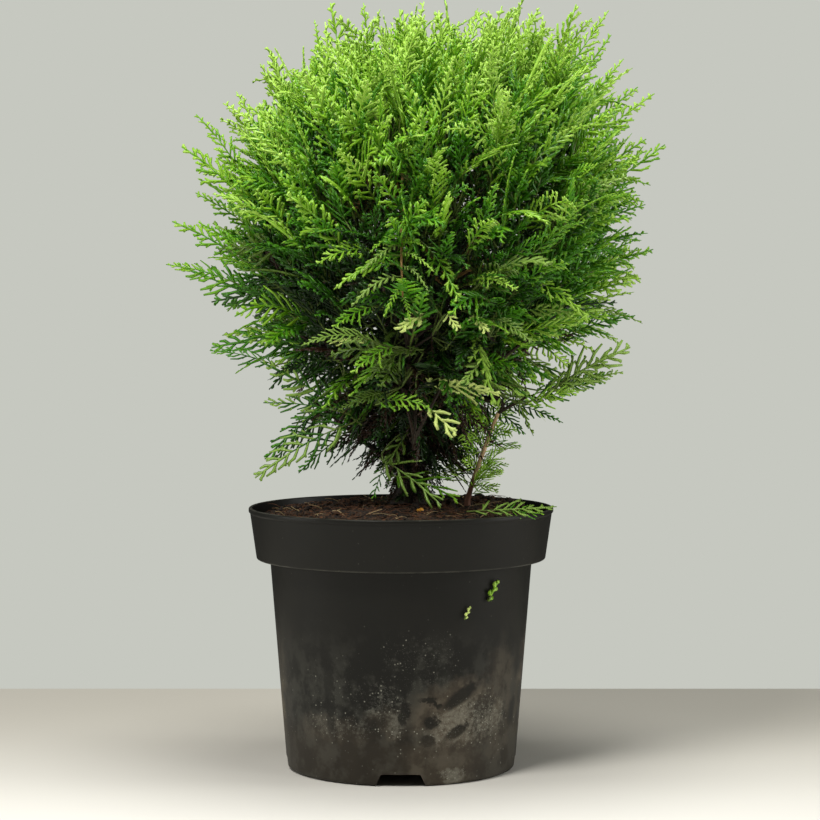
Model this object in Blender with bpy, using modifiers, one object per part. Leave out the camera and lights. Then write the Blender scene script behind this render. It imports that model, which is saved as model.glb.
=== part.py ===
"""Potted globe thuja: a nursery pot with its soil, a trunk, boughs, and masses of flat sprays.

Metres, +Z up. The origin is the middle of the pot's flat underside, and +Y points to the back.
Each limb and each mass of foliage is one object, and every mass keeps to its own part of the crown.
"""

import math
import random

import bmesh
import bpy
from mathutils import Matrix, Vector

# ---- driving dimensions -------------------------------------------------------------------------
POT_HEIGHT = 0.214
RIM_RADIUS = 0.125
RIM_BEAD = 0.0012
RIM_BEAD_HEIGHT = 0.0035
COLLAR_HEIGHT = 0.042
COLLAR_FOOT_RADIUS = 0.1185
WALL_TOP_RADIUS = 0.1075
BASE_RADIUS = 0.094
HEEL = 0.0025
WALL = 0.0016
FLOOR_THICK = 0.012
POT_STEPS = 36

DRAIN_COUNT = 4
DRAIN_FOOT_WIDTH = 0.040
DRAIN_ROOF_WIDTH = 0.031
DRAIN_HEIGHT = 0.010
DRAIN_INNER_RADIUS = 0.045
DRAIN_HOLE_RADIUS = 0.0045
DRAIN_HOLE_AT = 0.072
DRAIN_HOLE_STEPS = 12
DRAIN_BELOW = 0.004
DRAIN_OVERRUN = 1.15

SOIL_EDGE = POT_HEIGHT - 0.008
SOIL_TOP = POT_HEIGHT + 0.002
SOIL_PLATEAU = 0.068
SOIL_SHOULDER = 0.0015
SOIL_CLEARANCE = 0.00039

GAP = 0.0003
LIMB_FOOT = SOIL_TOP + GAP

# The trunk from its foot up: height above the foot, distance to +X, and radius. It sways in Y.
TRUNK_ROWS = (
    (0.000, 0.0070, 0.0160),
    (0.004, 0.0070, 0.0140),
    (0.012, 0.0072, 0.0118),
    (0.030, 0.0078, 0.0104),
    (0.060, 0.0098, 0.0094),
    (0.095, 0.0128, 0.0082),
    (0.135, 0.0150, 0.0068),
    (0.185, 0.0165, 0.0052),
    (0.235, 0.0172, 0.0036),
    (0.270, 0.0170, 0.0026),
)
TRUNK_SWAY = 0.003
TRUNK_WAVE = 22

# The side stem from its foot up: x, y, height above the foot, and radius.
SIDE_STEM_ROWS = (
    (0.0540, -0.0200, 0.000, 0.0034),
    (0.0540, -0.0200, 0.004, 0.0027),
    (0.0580, -0.0205, 0.018, 0.0025),
    (0.0640, -0.0210, 0.036, 0.0023),
    (0.0720, -0.0220, 0.058, 0.0020),
    (0.0790, -0.0230, 0.076, 0.0017),
)

CROWN_X = 0.019
CROWN_Z = 0.440
CROWN_RADIUS = 0.186
CROWN_ABOVE = 0.176
CROWN_BELOW = 0.206
ROUND_ABOVE = 2.6
ROUND_BELOW = 1.8
CROWN_LEAN = 0.9
LEAF_FLOOR = 0.2335
TIP_ABOVE_FLOOR = 0.004

SPRAY_COUNT = 176
SPRAYS_LEAST = 7
SPRAY_SPREAD = 0.5
SPRAY_DOWNMOST = -0.86
RAGGED = (0.96, 1.03)
SPRAY_LONG = 0.070
SPRAY_SHORT = 0.045
SPRAY_WIDE = 0.66
SPRAY_SHARE = 0.66
SPRAY_THICK = 0.0015
SPRAY_FOOT = 0.045
SPRAY_BACK = 0.03
SPRAY_TEETH = ((0.42, 0.50, 0.14), (0.56, 0.48, 0.12), (0.76, 0.38, 0.09))
SPRAY_ROLLS = 6
# The sizes tried in turn for a spray, as shares of its full width and of its reach.
SPRAY_TRIES = ((1.0, 1.0), (0.8, 1.0), (0.6, 1.0), (0.9, 0.94), (0.6, 0.94), (0.7, 0.86), (0.55, 0.8))
# How far back along the stem a spray starts from, and the shares of the stem where sprays may start.
SPRAY_SETBACK = (0.062, 0.082)
ROOTS_ON_CORED_STEM = (0.30, 0.75)
ROOTS_ON_BARE_STEM = (0.15, 0.92)
TWIG_ROOT = 0.0015
TWIG_TIP = 0.0006
TWIG_SIDES = 3
TWIG_INTO_BLADE = 0.12
TWIG_FEELERS = 12
STEM_SIDES = 4
STEM_REACH = 0.9
STEM_EXTRA = 0.006
STEM_RADII = (0.92, 0.55)
SPACE_MARGIN = 0.0007
LIMB_MARGIN = 0.0012
SEED = 11

# The tips that stand furthest out of the crown, as (azimuth, height, distance from the crown's axis).
FAR_TIPS = (
    (176, 0.412, 0.204),
    (183, 0.345, 0.172),
    (190, 0.256, 0.130),
    (355, 0.508, 0.194),
    (8, 0.372, 0.168),
    (340, 0.617, 0.128),
    (120, 0.622, 0.040),
    (265, 0.400, 0.198),
    (80, 0.430, 0.200),
)

# Each tier of masses: name, count, first azimuth, heart's radius and height, the heights on the trunk
# where its boughs leave, the bough's reach towards the heart, its root radius, and its core's size.
TIERS = (
    ("skirt", 5, 194, 0.092, 0.292, (0.238, 0.262), 0.46, 0.0034, 0.0),
    ("lower", 6, 262, 0.108, 0.366, (0.266, 0.306), 0.50, 0.0040, 0.060),
    ("middle", 6, 292, 0.112, 0.454, (0.312, 0.352), 0.46, 0.0040, 0.064),
    ("upper", 4, 250, 0.088, 0.540, (0.362, 0.392), 0.40, 0.0034, 0.064),
)
TOP_HEART_HEIGHT = 0.548
TOP_CORE = 0.060
TIER_STAGGER = 0.010
SIDE_STEM_MASS = "skirt_3"
CORE_SHARE = 0.76
CORE_GAP = 0.003
CORE_MARGIN = 0.008
CORE_FLOOR = 0.262
CORE_LEAST = 0.008
CORE_STEP = 0.94
CORE_ROUGH = (0.9, 1.0)
BOUGH_SPANS = 4
BOUGH_TAPER = 0.52
BOUGH_OUT = 0.62
BOUGH_UP = 0.78
BOUGH_LEAVE = 0.42
BOUGH_ARRIVE = 0.35
BOUGH_DIP = 0.06
BOUGH_INSET = 0.5

# ---- colours ------------------------------------------------------------------------------------
FINISHES = {
    "pot_plastic": ((0.020, 0.021, 0.020), 0.55),
    "soil": ((0.035, 0.020, 0.012), 0.95),
    "bark": ((0.120, 0.060, 0.035), 0.85),
    "foliage": ((0.110, 0.300, 0.035), 0.60),
}


def finish(name):
    """The material of that name, made once."""
    made = bpy.data.materials.get(name)
    if made:
        return made
    colour, roughness = FINISHES[name]
    made = bpy.data.materials.new(name)
    made.use_nodes = True
    shader = made.node_tree.nodes["Principled BSDF"]
    shader.inputs["Base Color"].default_value = (*colour, 1)
    shader.inputs["Roughness"].default_value = roughness
    shader.inputs["Metallic"].default_value = 0.0
    return made


# ---- making shapes ------------------------------------------------------------------------------
def object_from(mesh, name, collection, material):
    obj = bpy.data.objects.new(name, mesh)
    mesh.materials.clear()
    mesh.materials.append(finish(material))
    collection.objects.link(obj)
    return obj


def mesh_from(builder, name):
    mesh = bpy.data.meshes.new(name)
    builder.to_mesh(mesh)
    builder.free()
    return mesh


def applied(obj):
    """The object with its modifiers applied to its own mesh."""
    bpy.context.view_layer.update()
    graph = bpy.context.evaluated_depsgraph_get()
    mesh = bpy.data.meshes.new_from_object(obj.evaluated_get(graph), depsgraph=graph)
    obj.modifiers.clear()
    obj.data = mesh
    return obj


def turned(name, profile, collection, material):
    """A solid of revolution. The profile runs (radius, height) from the axis back to the axis."""
    builder = bmesh.new()
    row = [builder.verts.new((radius, 0, height)) for radius, height in profile]
    for low, high in zip(row, row[1:]):
        builder.edges.new((low, high))
    obj = object_from(mesh_from(builder, name), name, collection, material)
    screw = obj.modifiers.new("turn", "SCREW")
    screw.steps = POT_STEPS
    screw.render_steps = POT_STEPS
    screw.use_merge_vertices = True
    screw.merge_threshold = 0.00001
    return obj


def curve_mesh(name, points, radii, resolution):
    """A tapering round limb through the points, as a closed mesh."""
    curve = bpy.data.curves.new(name, "CURVE")
    curve.dimensions = "3D"
    curve.bevel_depth = 1.0
    curve.bevel_resolution = resolution
    curve.use_fill_caps = True
    spline = curve.splines.new("POLY")
    spline.points.add(len(points) - 1)
    for knot, place, radius in zip(spline.points, points, radii):
        knot.co = (*place, 1)
        knot.radius = radius
    guide = bpy.data.objects.new(name, curve)
    bpy.context.scene.collection.objects.link(guide)
    applied_mesh = bpy.data.meshes.new_from_object(
        guide.evaluated_get(bpy.context.evaluated_depsgraph_get())
    )
    bpy.data.objects.remove(guide)
    builder = bmesh.new()
    builder.from_mesh(applied_mesh)
    bmesh.ops.remove_doubles(builder, verts=builder.verts, dist=0.00002)
    bmesh.ops.recalc_face_normals(builder, faces=builder.faces)
    return mesh_from(builder, name)


def cone_between(name, start, end, root, tip, sides):
    """A straight tapering twig with that many sides."""
    along = end - start
    builder = bmesh.new()
    bmesh.ops.create_cone(
        builder, cap_ends=True, segments=sides, radius1=root, radius2=tip, depth=along.length
    )
    turn = along.to_track_quat("Z", "Y").to_matrix().to_4x4()
    bmesh.ops.transform(builder, verts=builder.verts, matrix=Matrix.Translation((start + end) / 2) @ turn)
    return mesh_from(builder, name)


def boolean(obj, operation, solver, other=None, collection=None):
    cut = obj.modifiers.new(operation.lower(), "BOOLEAN")
    cut.operation = operation
    cut.solver = solver
    if collection:
        cut.operand_type = "COLLECTION"
        cut.collection = collection
    else:
        cut.object = other
    return cut


def new_collection(name, helper=False):
    made = bpy.data.collections.new(name)
    made.hide_render = helper
    bpy.context.scene.collection.children.link(made)
    return made


# ---- the pot and its soil -----------------------------------------------------------------------
def pot_profile():
    collar_foot = POT_HEIGHT - COLLAR_HEIGHT
    return (
        (0, FLOOR_THICK),
        (BASE_RADIUS - WALL, FLOOR_THICK),
        (WALL_TOP_RADIUS - WALL, collar_foot + WALL),
        (COLLAR_FOOT_RADIUS - WALL, collar_foot + WALL),
        (RIM_RADIUS - WALL - RIM_BEAD, POT_HEIGHT),
        (RIM_RADIUS, POT_HEIGHT),
        (RIM_RADIUS, POT_HEIGHT - RIM_BEAD_HEIGHT),
        (RIM_RADIUS - RIM_BEAD, POT_HEIGHT - RIM_BEAD_HEIGHT - RIM_BEAD),
        (COLLAR_FOOT_RADIUS, collar_foot),
        (WALL_TOP_RADIUS, collar_foot),
        (BASE_RADIUS, HEEL),
        (BASE_RADIUS - HEEL, 0),
        (0, 0),
    )


def drain_channel(name, azimuth, helpers):
    """The trapezoid way that runs under the floor from a notch in the wall, as a cutter."""
    length = BASE_RADIUS * DRAIN_OVERRUN - DRAIN_INNER_RADIUS
    slope = (DRAIN_FOOT_WIDTH - DRAIN_ROOF_WIDTH) / DRAIN_HEIGHT
    builder = bmesh.new()
    bmesh.ops.create_cube(builder, size=1)
    for corner in builder.verts:
        height = DRAIN_HEIGHT if corner.co.z > 0 else -DRAIN_BELOW
        width = DRAIN_ROOF_WIDTH + slope * (DRAIN_HEIGHT - height)
        corner.co = ((corner.co.x + 0.5) * length + DRAIN_INNER_RADIUS, corner.co.y * width, height)
    bmesh.ops.transform(builder, verts=builder.verts, matrix=Matrix.Rotation(azimuth, 4, "Z"))
    return object_from(mesh_from(builder, name), name, helpers, "pot_plastic")


def drain_hole(name, azimuth, helpers):
    builder = bmesh.new()
    bmesh.ops.create_cone(
        builder,
        cap_ends=True,
        segments=DRAIN_HOLE_STEPS,
        radius1=DRAIN_HOLE_RADIUS,
        radius2=DRAIN_HOLE_RADIUS,
        depth=FLOOR_THICK,
    )
    place = Matrix.Rotation(azimuth, 4, "Z") @ Matrix.Translation((DRAIN_HOLE_AT, 0, FLOOR_THICK))
    bmesh.ops.transform(builder, verts=builder.verts, matrix=place)
    return object_from(mesh_from(builder, name), name, helpers, "pot_plastic")


def make_pot(parts):
    pot = applied(turned("pot", pot_profile(), parts, "pot_plastic"))
    helpers = new_collection("pot_cutters", helper=True)
    for turn in range(DRAIN_COUNT):
        azimuth = math.radians(-90 + 360 * turn / DRAIN_COUNT)
        for cutter in (
            drain_channel(f"channel_cutter_{turn}", azimuth, helpers),
            drain_hole(f"hole_cutter_{turn}", azimuth, helpers),
        ):
            cutter.hide_render = True
            cutter.display_type = "WIRE"
            boolean(pot, "DIFFERENCE", "EXACT", other=cutter)
    applied(pot)
    for cutter in list(helpers.objects):
        bpy.data.objects.remove(cutter)
    bpy.data.collections.remove(helpers)
    pot.data.shade_smooth()
    pot.data.set_sharp_from_angle(angle=math.radians(30))
    return pot


def make_soil(parts):
    """The soil follows the pot's inside with a small gap, and its top is a low mound."""
    clear = SOIL_CLEARANCE
    ledge = POT_HEIGHT - COLLAR_HEIGHT + WALL + clear
    slope = (RIM_RADIUS - RIM_BEAD - COLLAR_FOOT_RADIUS) / (COLLAR_HEIGHT - WALL)
    edge_radius = COLLAR_FOOT_RADIUS - WALL - clear + slope * (SOIL_EDGE - ledge)
    profile = (
        (0, SOIL_TOP),
        (SOIL_PLATEAU / 2, SOIL_TOP),
        (SOIL_PLATEAU, SOIL_TOP),
        ((SOIL_PLATEAU + edge_radius) / 2, (SOIL_TOP + SOIL_EDGE) / 2 + SOIL_SHOULDER),
        (edge_radius, SOIL_EDGE),
        (COLLAR_FOOT_RADIUS - WALL - clear, ledge),
        (WALL_TOP_RADIUS - WALL - clear, ledge),
        (BASE_RADIUS - WALL - clear, FLOOR_THICK + clear),
        (0, FLOOR_THICK + clear),
    )
    soil = applied(turned("soil", profile, parts, "soil"))
    soil.data.shade_smooth()
    return soil


# ---- limbs --------------------------------------------------------------------------------------
class Limb:
    """A tapering limb: the points of its middle line and its radius at each."""

    def __init__(self, points, radii):
        self.points = points
        self.radii = radii

    def at(self, height):
        """(point, radius) where a rising limb passes that height."""
        for low, high, r_low, r_high in zip(self.points, self.points[1:], self.radii, self.radii[1:]):
            if low.z <= height <= high.z:
                share = (height - low.z) / (high.z - low.z)
                return low.lerp(high, share), r_low + (r_high - r_low) * share
        return self.points[-1].copy(), self.radii[-1]

    def samples(self, step=0.004):
        """(point, radius) at close steps along the limb."""
        for low, high, r_low, r_high in zip(self.points, self.points[1:], self.radii, self.radii[1:]):
            count = max(1, math.ceil((high - low).length / step))
            for turn in range(count + 1):
                share = turn / count
                yield low.lerp(high, share), r_low + (r_high - r_low) * share

    def end_direction(self):
        return (self.points[-1] - self.points[-2]).normalized()


def outward(azimuth):
    return Vector((math.cos(azimuth), math.sin(azimuth), 0))


def bezier(start, leave, arrive, end, count):
    found = []
    for turn in range(count + 1):
        t = turn / count
        s = 1 - t
        found.append(start * s**3 + leave * 3 * s * s * t + arrive * 3 * s * t * t + end * t**3)
    return found


def trunk_limb():
    """Root flare, a slight lean, then a leader that runs up inside the crown."""
    points = [
        Vector((x, TRUNK_SWAY * math.sin(rise * TRUNK_WAVE), LIMB_FOOT + rise)) for rise, x, _ in TRUNK_ROWS
    ]
    points[1].y = points[0].y
    return Limb(points, [radius for _, _, radius in TRUNK_ROWS])


def side_stem_limb():
    """The thin stem that leaves the soil beside the trunk and leans out to the right."""
    points = [Vector((x, y, LIMB_FOOT + rise)) for x, y, rise, _ in SIDE_STEM_ROWS]
    return Limb(points, [radius for *_, radius in SIDE_STEM_ROWS])


def bough_limb(trunk, leave_height, heart, reach, root_radius):
    """One bough: it rises out of the trunk, then bends out towards its mass."""
    start, trunk_radius = trunk.at(leave_height)
    across = Vector((heart.x - start.x, heart.y - start.y, 0))
    away = across.normalized()
    start = start + away * max(0.0, trunk_radius - root_radius) * BOUGH_INSET
    end = start.lerp(heart, reach)
    span = (end - start).length
    rising = (away * BOUGH_OUT + Vector((0, 0, BOUGH_UP))).normalized()
    leave = start + rising * span * BOUGH_LEAVE
    arrive = end - (heart - start).normalized() * span * BOUGH_ARRIVE - away * span * BOUGH_DIP
    points = bezier(start, leave, arrive, end, BOUGH_SPANS)
    taper = (root_radius * (1 - BOUGH_TAPER * turn / BOUGH_SPANS) for turn in range(BOUGH_SPANS + 1))
    return Limb(points, list(taper))


def make_limb(name, limb, parts, resolution, cutter=None):
    """The limb's solid, with its root cut clear of the trunk where it leaves it."""
    obj = object_from(curve_mesh(name, limb.points, limb.radii, resolution), name, parts, "bark")
    if cutter:
        boolean(obj, "DIFFERENCE", "EXACT", other=cutter)
        applied(obj)
    obj.data.shade_smooth()
    return obj


# ---- the crown's rule ---------------------------------------------------------------------------
CROWN_HEART = Vector((CROWN_X, 0, CROWN_Z))


def crown_reach(direction):
    """How far the upright crown reaches from its middle in that direction."""
    above = direction.z >= 0
    height, power = (CROWN_ABOVE, ROUND_ABOVE) if above else (CROWN_BELOW, ROUND_BELOW)
    level = math.hypot(direction.x, direction.y)
    return ((abs(direction.z) / height) ** power + (level / CROWN_RADIUS) ** power) ** (-1 / power)


def crown_lean(point):
    """How far the crown's top leans over to +X at that point's height."""
    return Vector((CROWN_LEAN * max(0.0, point.z - CROWN_Z) ** 2, 0, 0))


def crown_skin(direction, share=1.0):
    """The point of the crown's skin in that direction, or at that share of its reach."""
    point = CROWN_HEART + direction * crown_reach(direction) * share
    point.z = max(point.z, LEAF_FLOOR + TIP_ABOVE_FLOOR)
    return point + crown_lean(point)


def crown_share(point):
    """Where the point lies between the crown's middle, 0, and its skin, 1."""
    away = point - crown_lean(point) - CROWN_HEART
    return away.length / crown_reach(away.normalized())


def far_tips():
    """The points of the tips that stand furthest out of the crown."""
    for azimuth, height, radius in FAR_TIPS:
        yield Vector((CROWN_X, 0, height)) + outward(math.radians(azimuth)) * radius


def even_directions(count):
    """Directions spread evenly over a sphere, along a golden spiral."""
    golden = math.pi * (3 - math.sqrt(5))
    for turn in range(count):
        z = 1 - 2 * (turn + 0.5) / count
        level = math.sqrt(1 - z * z)
        yield Vector((math.cos(golden * turn) * level, math.sin(golden * turn) * level, z))


class Mass:
    """One mass of foliage: its heart, the limb that carries it and its core's reach."""

    def __init__(self, name, heart, limb, core):
        self.name = name
        self.heart = heart
        self.limb = limb
        self.core = core
        self.targets = []
        self.sprays = []

    def stem(self):
        """(start, end) of the stem that grows on from the limb's tip, its foot clear of the tip."""
        tip = self.limb.points[-1]
        along = self.limb.end_direction()
        reach = (self.heart - tip) * STEM_REACH + along * STEM_EXTRA
        dip = self.limb.radii[-1] * along.cross(reach.normalized()).length
        start = tip + along * (GAP + dip)
        return start, start + reach


class Spaces:
    """Which points belong to which mass, and which are clear of every limb, the pot and the soil."""

    def __init__(self, masses, limbs):
        self.masses = masses
        self.limb_samples = [sample for limb in limbs for sample in limb.samples()]

    def owner(self, point):
        return min(self.masses, key=lambda mass: (point - mass.heart).length_squared)

    def holds(self, mass, points, margin=SPACE_MARGIN):
        for other in self.masses:
            if other is mass:
                continue
            apart = other.heart - mass.heart
            middle = (other.heart + mass.heart) / 2
            bar = apart.length * margin
            if any((point - middle).dot(apart) > -bar for point in points):
                return False
        return True

    def clear(self, points, margin=LIMB_MARGIN):
        for point in points:
            if point.z < LEAF_FLOOR:
                return False
            for place, radius in self.limb_samples:
                if (point - place).length < radius + margin:
                    return False
        return True


def hearts_of_tier(tier):
    name, count, first, radius, height, leaves, reach, root, core = tier
    for turn in range(count):
        azimuth = math.radians(first + 360 * turn / count)
        lift = TIER_STAGGER * (-1) ** turn
        heart = Vector((CROWN_X, 0, height + lift)) + outward(azimuth) * radius
        low, high = leaves
        order = (turn * 2) % count if count % 2 else (turn * 2 + (turn * 2 >= count)) % count
        leave = low + (high - low) * order / (count - 1)
        yield f"{name}_{turn + 1}", heart, leave, reach, root, core


# ---- foliage ------------------------------------------------------------------------------------
def spray_outline():
    """A flat spray of unit length and width: forward teeth by turns on either side, then the tip."""
    sides = {1: [(0.0, SPRAY_FOOT)], -1: [(0.0, -SPRAY_FOOT)]}
    side = 1
    for tooth_along, tooth_out, notch_out in SPRAY_TEETH:
        sides[side] += [(tooth_along, tooth_out * side), (tooth_along - SPRAY_BACK, notch_out * side)]
        side = -side
    return [*sides[1], (1.0, 0.0), *reversed(sides[-1])]


def spray_master():
    """The flat toothed blade of unit length, made once, then scaled for each spray."""
    outline = spray_outline()
    curve = bpy.data.curves.new("spray_outline", "CURVE")
    curve.dimensions = "2D"
    curve.fill_mode = "BOTH"
    curve.extrude = SPRAY_THICK / 2
    spline = curve.splines.new("POLY")
    spline.points.add(len(outline) - 1)
    spline.use_cyclic_u = True
    for knot, (x, y) in zip(spline.points, outline):
        knot.co = (x, y, 0, 1)
    guide = bpy.data.objects.new("spray_outline", curve)
    bpy.context.scene.collection.objects.link(guide)
    mesh = bpy.data.meshes.new_from_object(
        guide.evaluated_get(bpy.context.evaluated_depsgraph_get())
    )
    bpy.data.objects.remove(guide)
    builder = bmesh.new()
    builder.from_mesh(mesh)
    bmesh.ops.remove_doubles(builder, verts=builder.verts, dist=0.00001)
    bmesh.ops.recalc_face_normals(builder, faces=builder.faces)
    return mesh_from(builder, "spray_master")


class Spray:
    """A twig that leaves the stem and the flat blade at its end."""

    def __init__(self, root, tip, roll, width):
        self.root = root
        self.tip = tip
        along = tip - root
        self.length = min(SPRAY_LONG, along.length * SPRAY_SHARE)
        self.foot = tip - along.normalized() * self.length
        self.width = self.length * width
        x_axis = along.normalized()
        side = x_axis.orthogonal().normalized()
        side.rotate(Matrix.Rotation(roll, 3, x_axis))
        up = x_axis.cross(side)
        turn = Matrix((x_axis, side, up)).transposed().to_4x4()
        scale = Matrix.Diagonal((self.length, self.width, 1, 1))
        self.matrix = Matrix.Translation(self.foot) @ turn @ scale

    def feelers(self):
        """Points over the whole blade and twig, which must stay in the mass's space."""
        corners = [Vector((x, y, 0)) for x, y in spray_outline()]
        found = []
        for corner, following in zip(corners, corners[1:] + corners[:1]):
            for place in (corner, corner.lerp(following, 0.5)):
                spine = Vector((place.x, 0, 0))
                found += [self.matrix @ place, self.matrix @ place.lerp(spine, 0.5), self.matrix @ spine]
        return found + [self.root.lerp(self.foot, step / TWIG_FEELERS) for step in range(TWIG_FEELERS)]

    def crossed_by(self, points):
        """True where the points lie on both sides of this blade."""
        back = self.matrix.inverted()
        near = [q.z for q in (back @ point for point in points) if 0 < q.x < 1 and abs(q.y) < 0.5]
        return bool(near) and min(near) < 0 < max(near)


def grow_spray(mass, target, spaces, draw):
    """The first size that keeps to the mass's space, turned so that it crosses the fewest others."""
    start, end = mass.stem()
    stem = end - start
    setback = SPRAY_SETBACK[0] + (SPRAY_SETBACK[1] - SPRAY_SETBACK[0]) * draw.random()
    low, high = ROOTS_ON_CORED_STEM if mass.core else ROOTS_ON_BARE_STEM
    along = (target - start).dot(stem.normalized()) - setback
    root = start + stem.normalized() * min(max(along, stem.length * low), stem.length * high)
    roll = draw.uniform(0, math.pi)
    for width, reach in SPRAY_TRIES:
        tip = root.lerp(target, reach)
        if (tip - root).length < SPRAY_SHORT:
            continue
        fits = []
        for turn in range(SPRAY_ROLLS):
            spray = Spray(root, tip, roll + turn * math.pi / SPRAY_ROLLS, SPRAY_WIDE * width)
            points = spray.feelers()
            if spaces.holds(mass, points) and spaces.clear(points):
                fits.append((sum(other.crossed_by(points) for other in mass.sprays), turn, spray))
        if fits:
            return min(fits)[2]
    return None


def core_mesh(name, mass, spaces, draw):
    """A lump round the heart that fills much of the mass's space and stays clear of every limb."""
    builder = bmesh.new()
    bmesh.ops.create_icosphere(builder, subdivisions=2, radius=1)
    for corner in builder.verts:
        direction = corner.co.normalized()
        size = mass.core * draw.uniform(*CORE_ROUGH)
        while size > CORE_LEAST:
            place = mass.heart + direction * size
            inside = crown_share(place) < CORE_SHARE and place.z > CORE_FLOOR
            if inside and spaces.holds(mass, [place], CORE_GAP) and spaces.clear([place], CORE_MARGIN):
                break
            size *= CORE_STEP
        corner.co = mass.heart + direction * size
    return mesh_from(builder, name)


def make_mass(mass, master, spaces, parts, draw):
    """Stem, core, twigs and sprays, fused into one solid."""
    start, end = mass.stem()
    root, tip = (mass.limb.radii[-1] * share for share in STEM_RADII)
    stem = cone_between(mass.name, start, end, root, tip, STEM_SIDES)
    obj = object_from(stem, mass.name, parts, "foliage")
    pieces = new_collection(f"{mass.name}_pieces", helper=True)
    if mass.core:
        label = f"{mass.name}_core"
        object_from(core_mesh(label, mass, spaces, draw), label, pieces, "foliage")
    for number, target in enumerate(mass.targets):
        spray = grow_spray(mass, target, spaces, draw)
        if not spray:
            continue
        mass.sprays.append(spray)
        label = f"{mass.name}_{number}"
        inner = spray.foot.lerp(spray.tip, TWIG_INTO_BLADE)
        twig = cone_between(f"{label}_twig", spray.root, inner, TWIG_ROOT, TWIG_TIP, TWIG_SIDES)
        object_from(twig, f"{label}_twig", pieces, "foliage")
        blade = master.copy()
        blade.transform(spray.matrix)
        object_from(blade, f"{label}_blade", pieces, "foliage")
    boolean(obj, "UNION", "EXACT", collection=pieces)
    applied(obj)
    for piece in list(pieces.objects):
        bpy.data.objects.remove(piece)
    bpy.data.collections.remove(pieces)


def share_out_targets(masses, spaces, draw):
    """Each mass gets the far tips and the points of the crown's skin that lie in its space."""
    for target in far_tips():
        spaces.owner(target).targets.append(target)
    for direction in even_directions(SPRAY_COUNT):
        if direction.z > SPRAY_DOWNMOST:
            target = crown_skin(direction, draw.uniform(*RAGGED))
            spaces.owner(target).targets.append(target)
    for mass in masses:
        while len(mass.targets) < SPRAYS_LEAST:
            jitter = Vector([draw.uniform(-1, 1) * SPRAY_SPREAD for _ in range(3)])
            direction = (mass.heart - CROWN_HEART).normalized() + jitter
            target = crown_skin(direction.normalized(), draw.uniform(*RAGGED))
            if spaces.owner(target) is mass:
                mass.targets.append(target)


def build():
    for obj in list(bpy.data.objects):
        bpy.data.objects.remove(obj)
    parts = new_collection("potted_thuja")
    draw = random.Random(SEED)

    make_pot(parts)
    make_soil(parts)

    trunk = trunk_limb()
    make_limb("trunk", trunk, parts, 3)
    wide = Limb(trunk.points, [radius + GAP for radius in trunk.radii])
    cutter = object_from(
        curve_mesh("trunk_cutter", wide.points, wide.radii, 3), "trunk_cutter", parts, "bark"
    )
    side_stem = side_stem_limb()
    make_limb("side_stem", side_stem, parts, 1)

    limbs = [trunk, side_stem]
    masses = [Mass("foliage_top", Vector((CROWN_X, 0, TOP_HEART_HEIGHT)), trunk, TOP_CORE)]
    for tier in TIERS:
        for name, heart, leave, reach, root, core in hearts_of_tier(tier):
            limb = side_stem
            if name != SIDE_STEM_MASS:
                limb = bough_limb(trunk, leave, heart, reach, root)
                make_limb(f"bough_{name}", limb, parts, 1, cutter)
                limbs.append(limb)
            masses.append(Mass(f"foliage_{name}", heart, limb, core))
    bpy.data.objects.remove(cutter)

    spaces = Spaces(masses, limbs)
    share_out_targets(masses, spaces, draw)
    master = spray_master()
    for mass in masses:
        make_mass(mass, master, spaces, parts, draw)
        print(mass.name, len(mass.sprays), "sprays of", len(mass.targets))


build()
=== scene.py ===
"""Dresses the potted globe thuja: fine sprays on twigs, barked limbs, a dusty nursery pot and its soil.

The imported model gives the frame. Metres, +Z up, the front of the pot towards -Y.
"""

import math
import random
from collections import namedtuple

import bmesh
import bpy
import numpy as np
from bpy.props import FloatProperty, FloatVectorProperty, IntProperty, PointerProperty
from mathutils import Matrix, Vector, noise


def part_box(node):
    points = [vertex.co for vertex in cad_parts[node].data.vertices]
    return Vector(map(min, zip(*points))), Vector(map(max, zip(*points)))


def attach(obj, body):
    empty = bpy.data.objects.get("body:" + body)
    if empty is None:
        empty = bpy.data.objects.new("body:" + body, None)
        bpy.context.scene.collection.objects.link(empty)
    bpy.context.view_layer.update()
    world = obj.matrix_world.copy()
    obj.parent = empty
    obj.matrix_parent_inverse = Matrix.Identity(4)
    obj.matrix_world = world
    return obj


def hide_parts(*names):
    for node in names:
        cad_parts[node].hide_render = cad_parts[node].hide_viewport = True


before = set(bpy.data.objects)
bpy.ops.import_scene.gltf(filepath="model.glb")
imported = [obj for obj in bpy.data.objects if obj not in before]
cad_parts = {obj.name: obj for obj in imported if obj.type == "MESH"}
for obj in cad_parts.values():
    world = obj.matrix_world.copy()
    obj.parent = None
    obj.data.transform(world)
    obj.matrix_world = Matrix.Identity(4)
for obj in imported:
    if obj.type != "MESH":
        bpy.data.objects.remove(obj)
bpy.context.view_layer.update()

bl_info = {
    "name": "Potted Thuja",
    "version": (1, 0, 0),
    "blender": (4, 5, 0),
    "location": "3D View > Sidebar > Thuja",
    "description": "Grows a globe thuja with fine flat sprays in a nursery pot",
    "category": "Add Mesh",
}

_, POT_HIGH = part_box("pot")
_, SOIL_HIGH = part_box("soil")
BODY = "root"
# What stands on the soil keeps this gap to the soil's solid.
GAP = 0.0003


# ---- settings -----------------------------------------------------------------------------------
def length(name, description, default):
    return FloatProperty(name=name, description=description, default=default, unit="LENGTH", precision=4)


def share(name, description, default):
    return FloatProperty(name=name, description=description, default=default, subtype="FACTOR")


def angle(name, description, degrees):
    return FloatProperty(name=name, description=description, default=math.radians(degrees), subtype="ANGLE")


def whole(name, description, default):
    return IntProperty(name=name, description=description, default=default)


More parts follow.
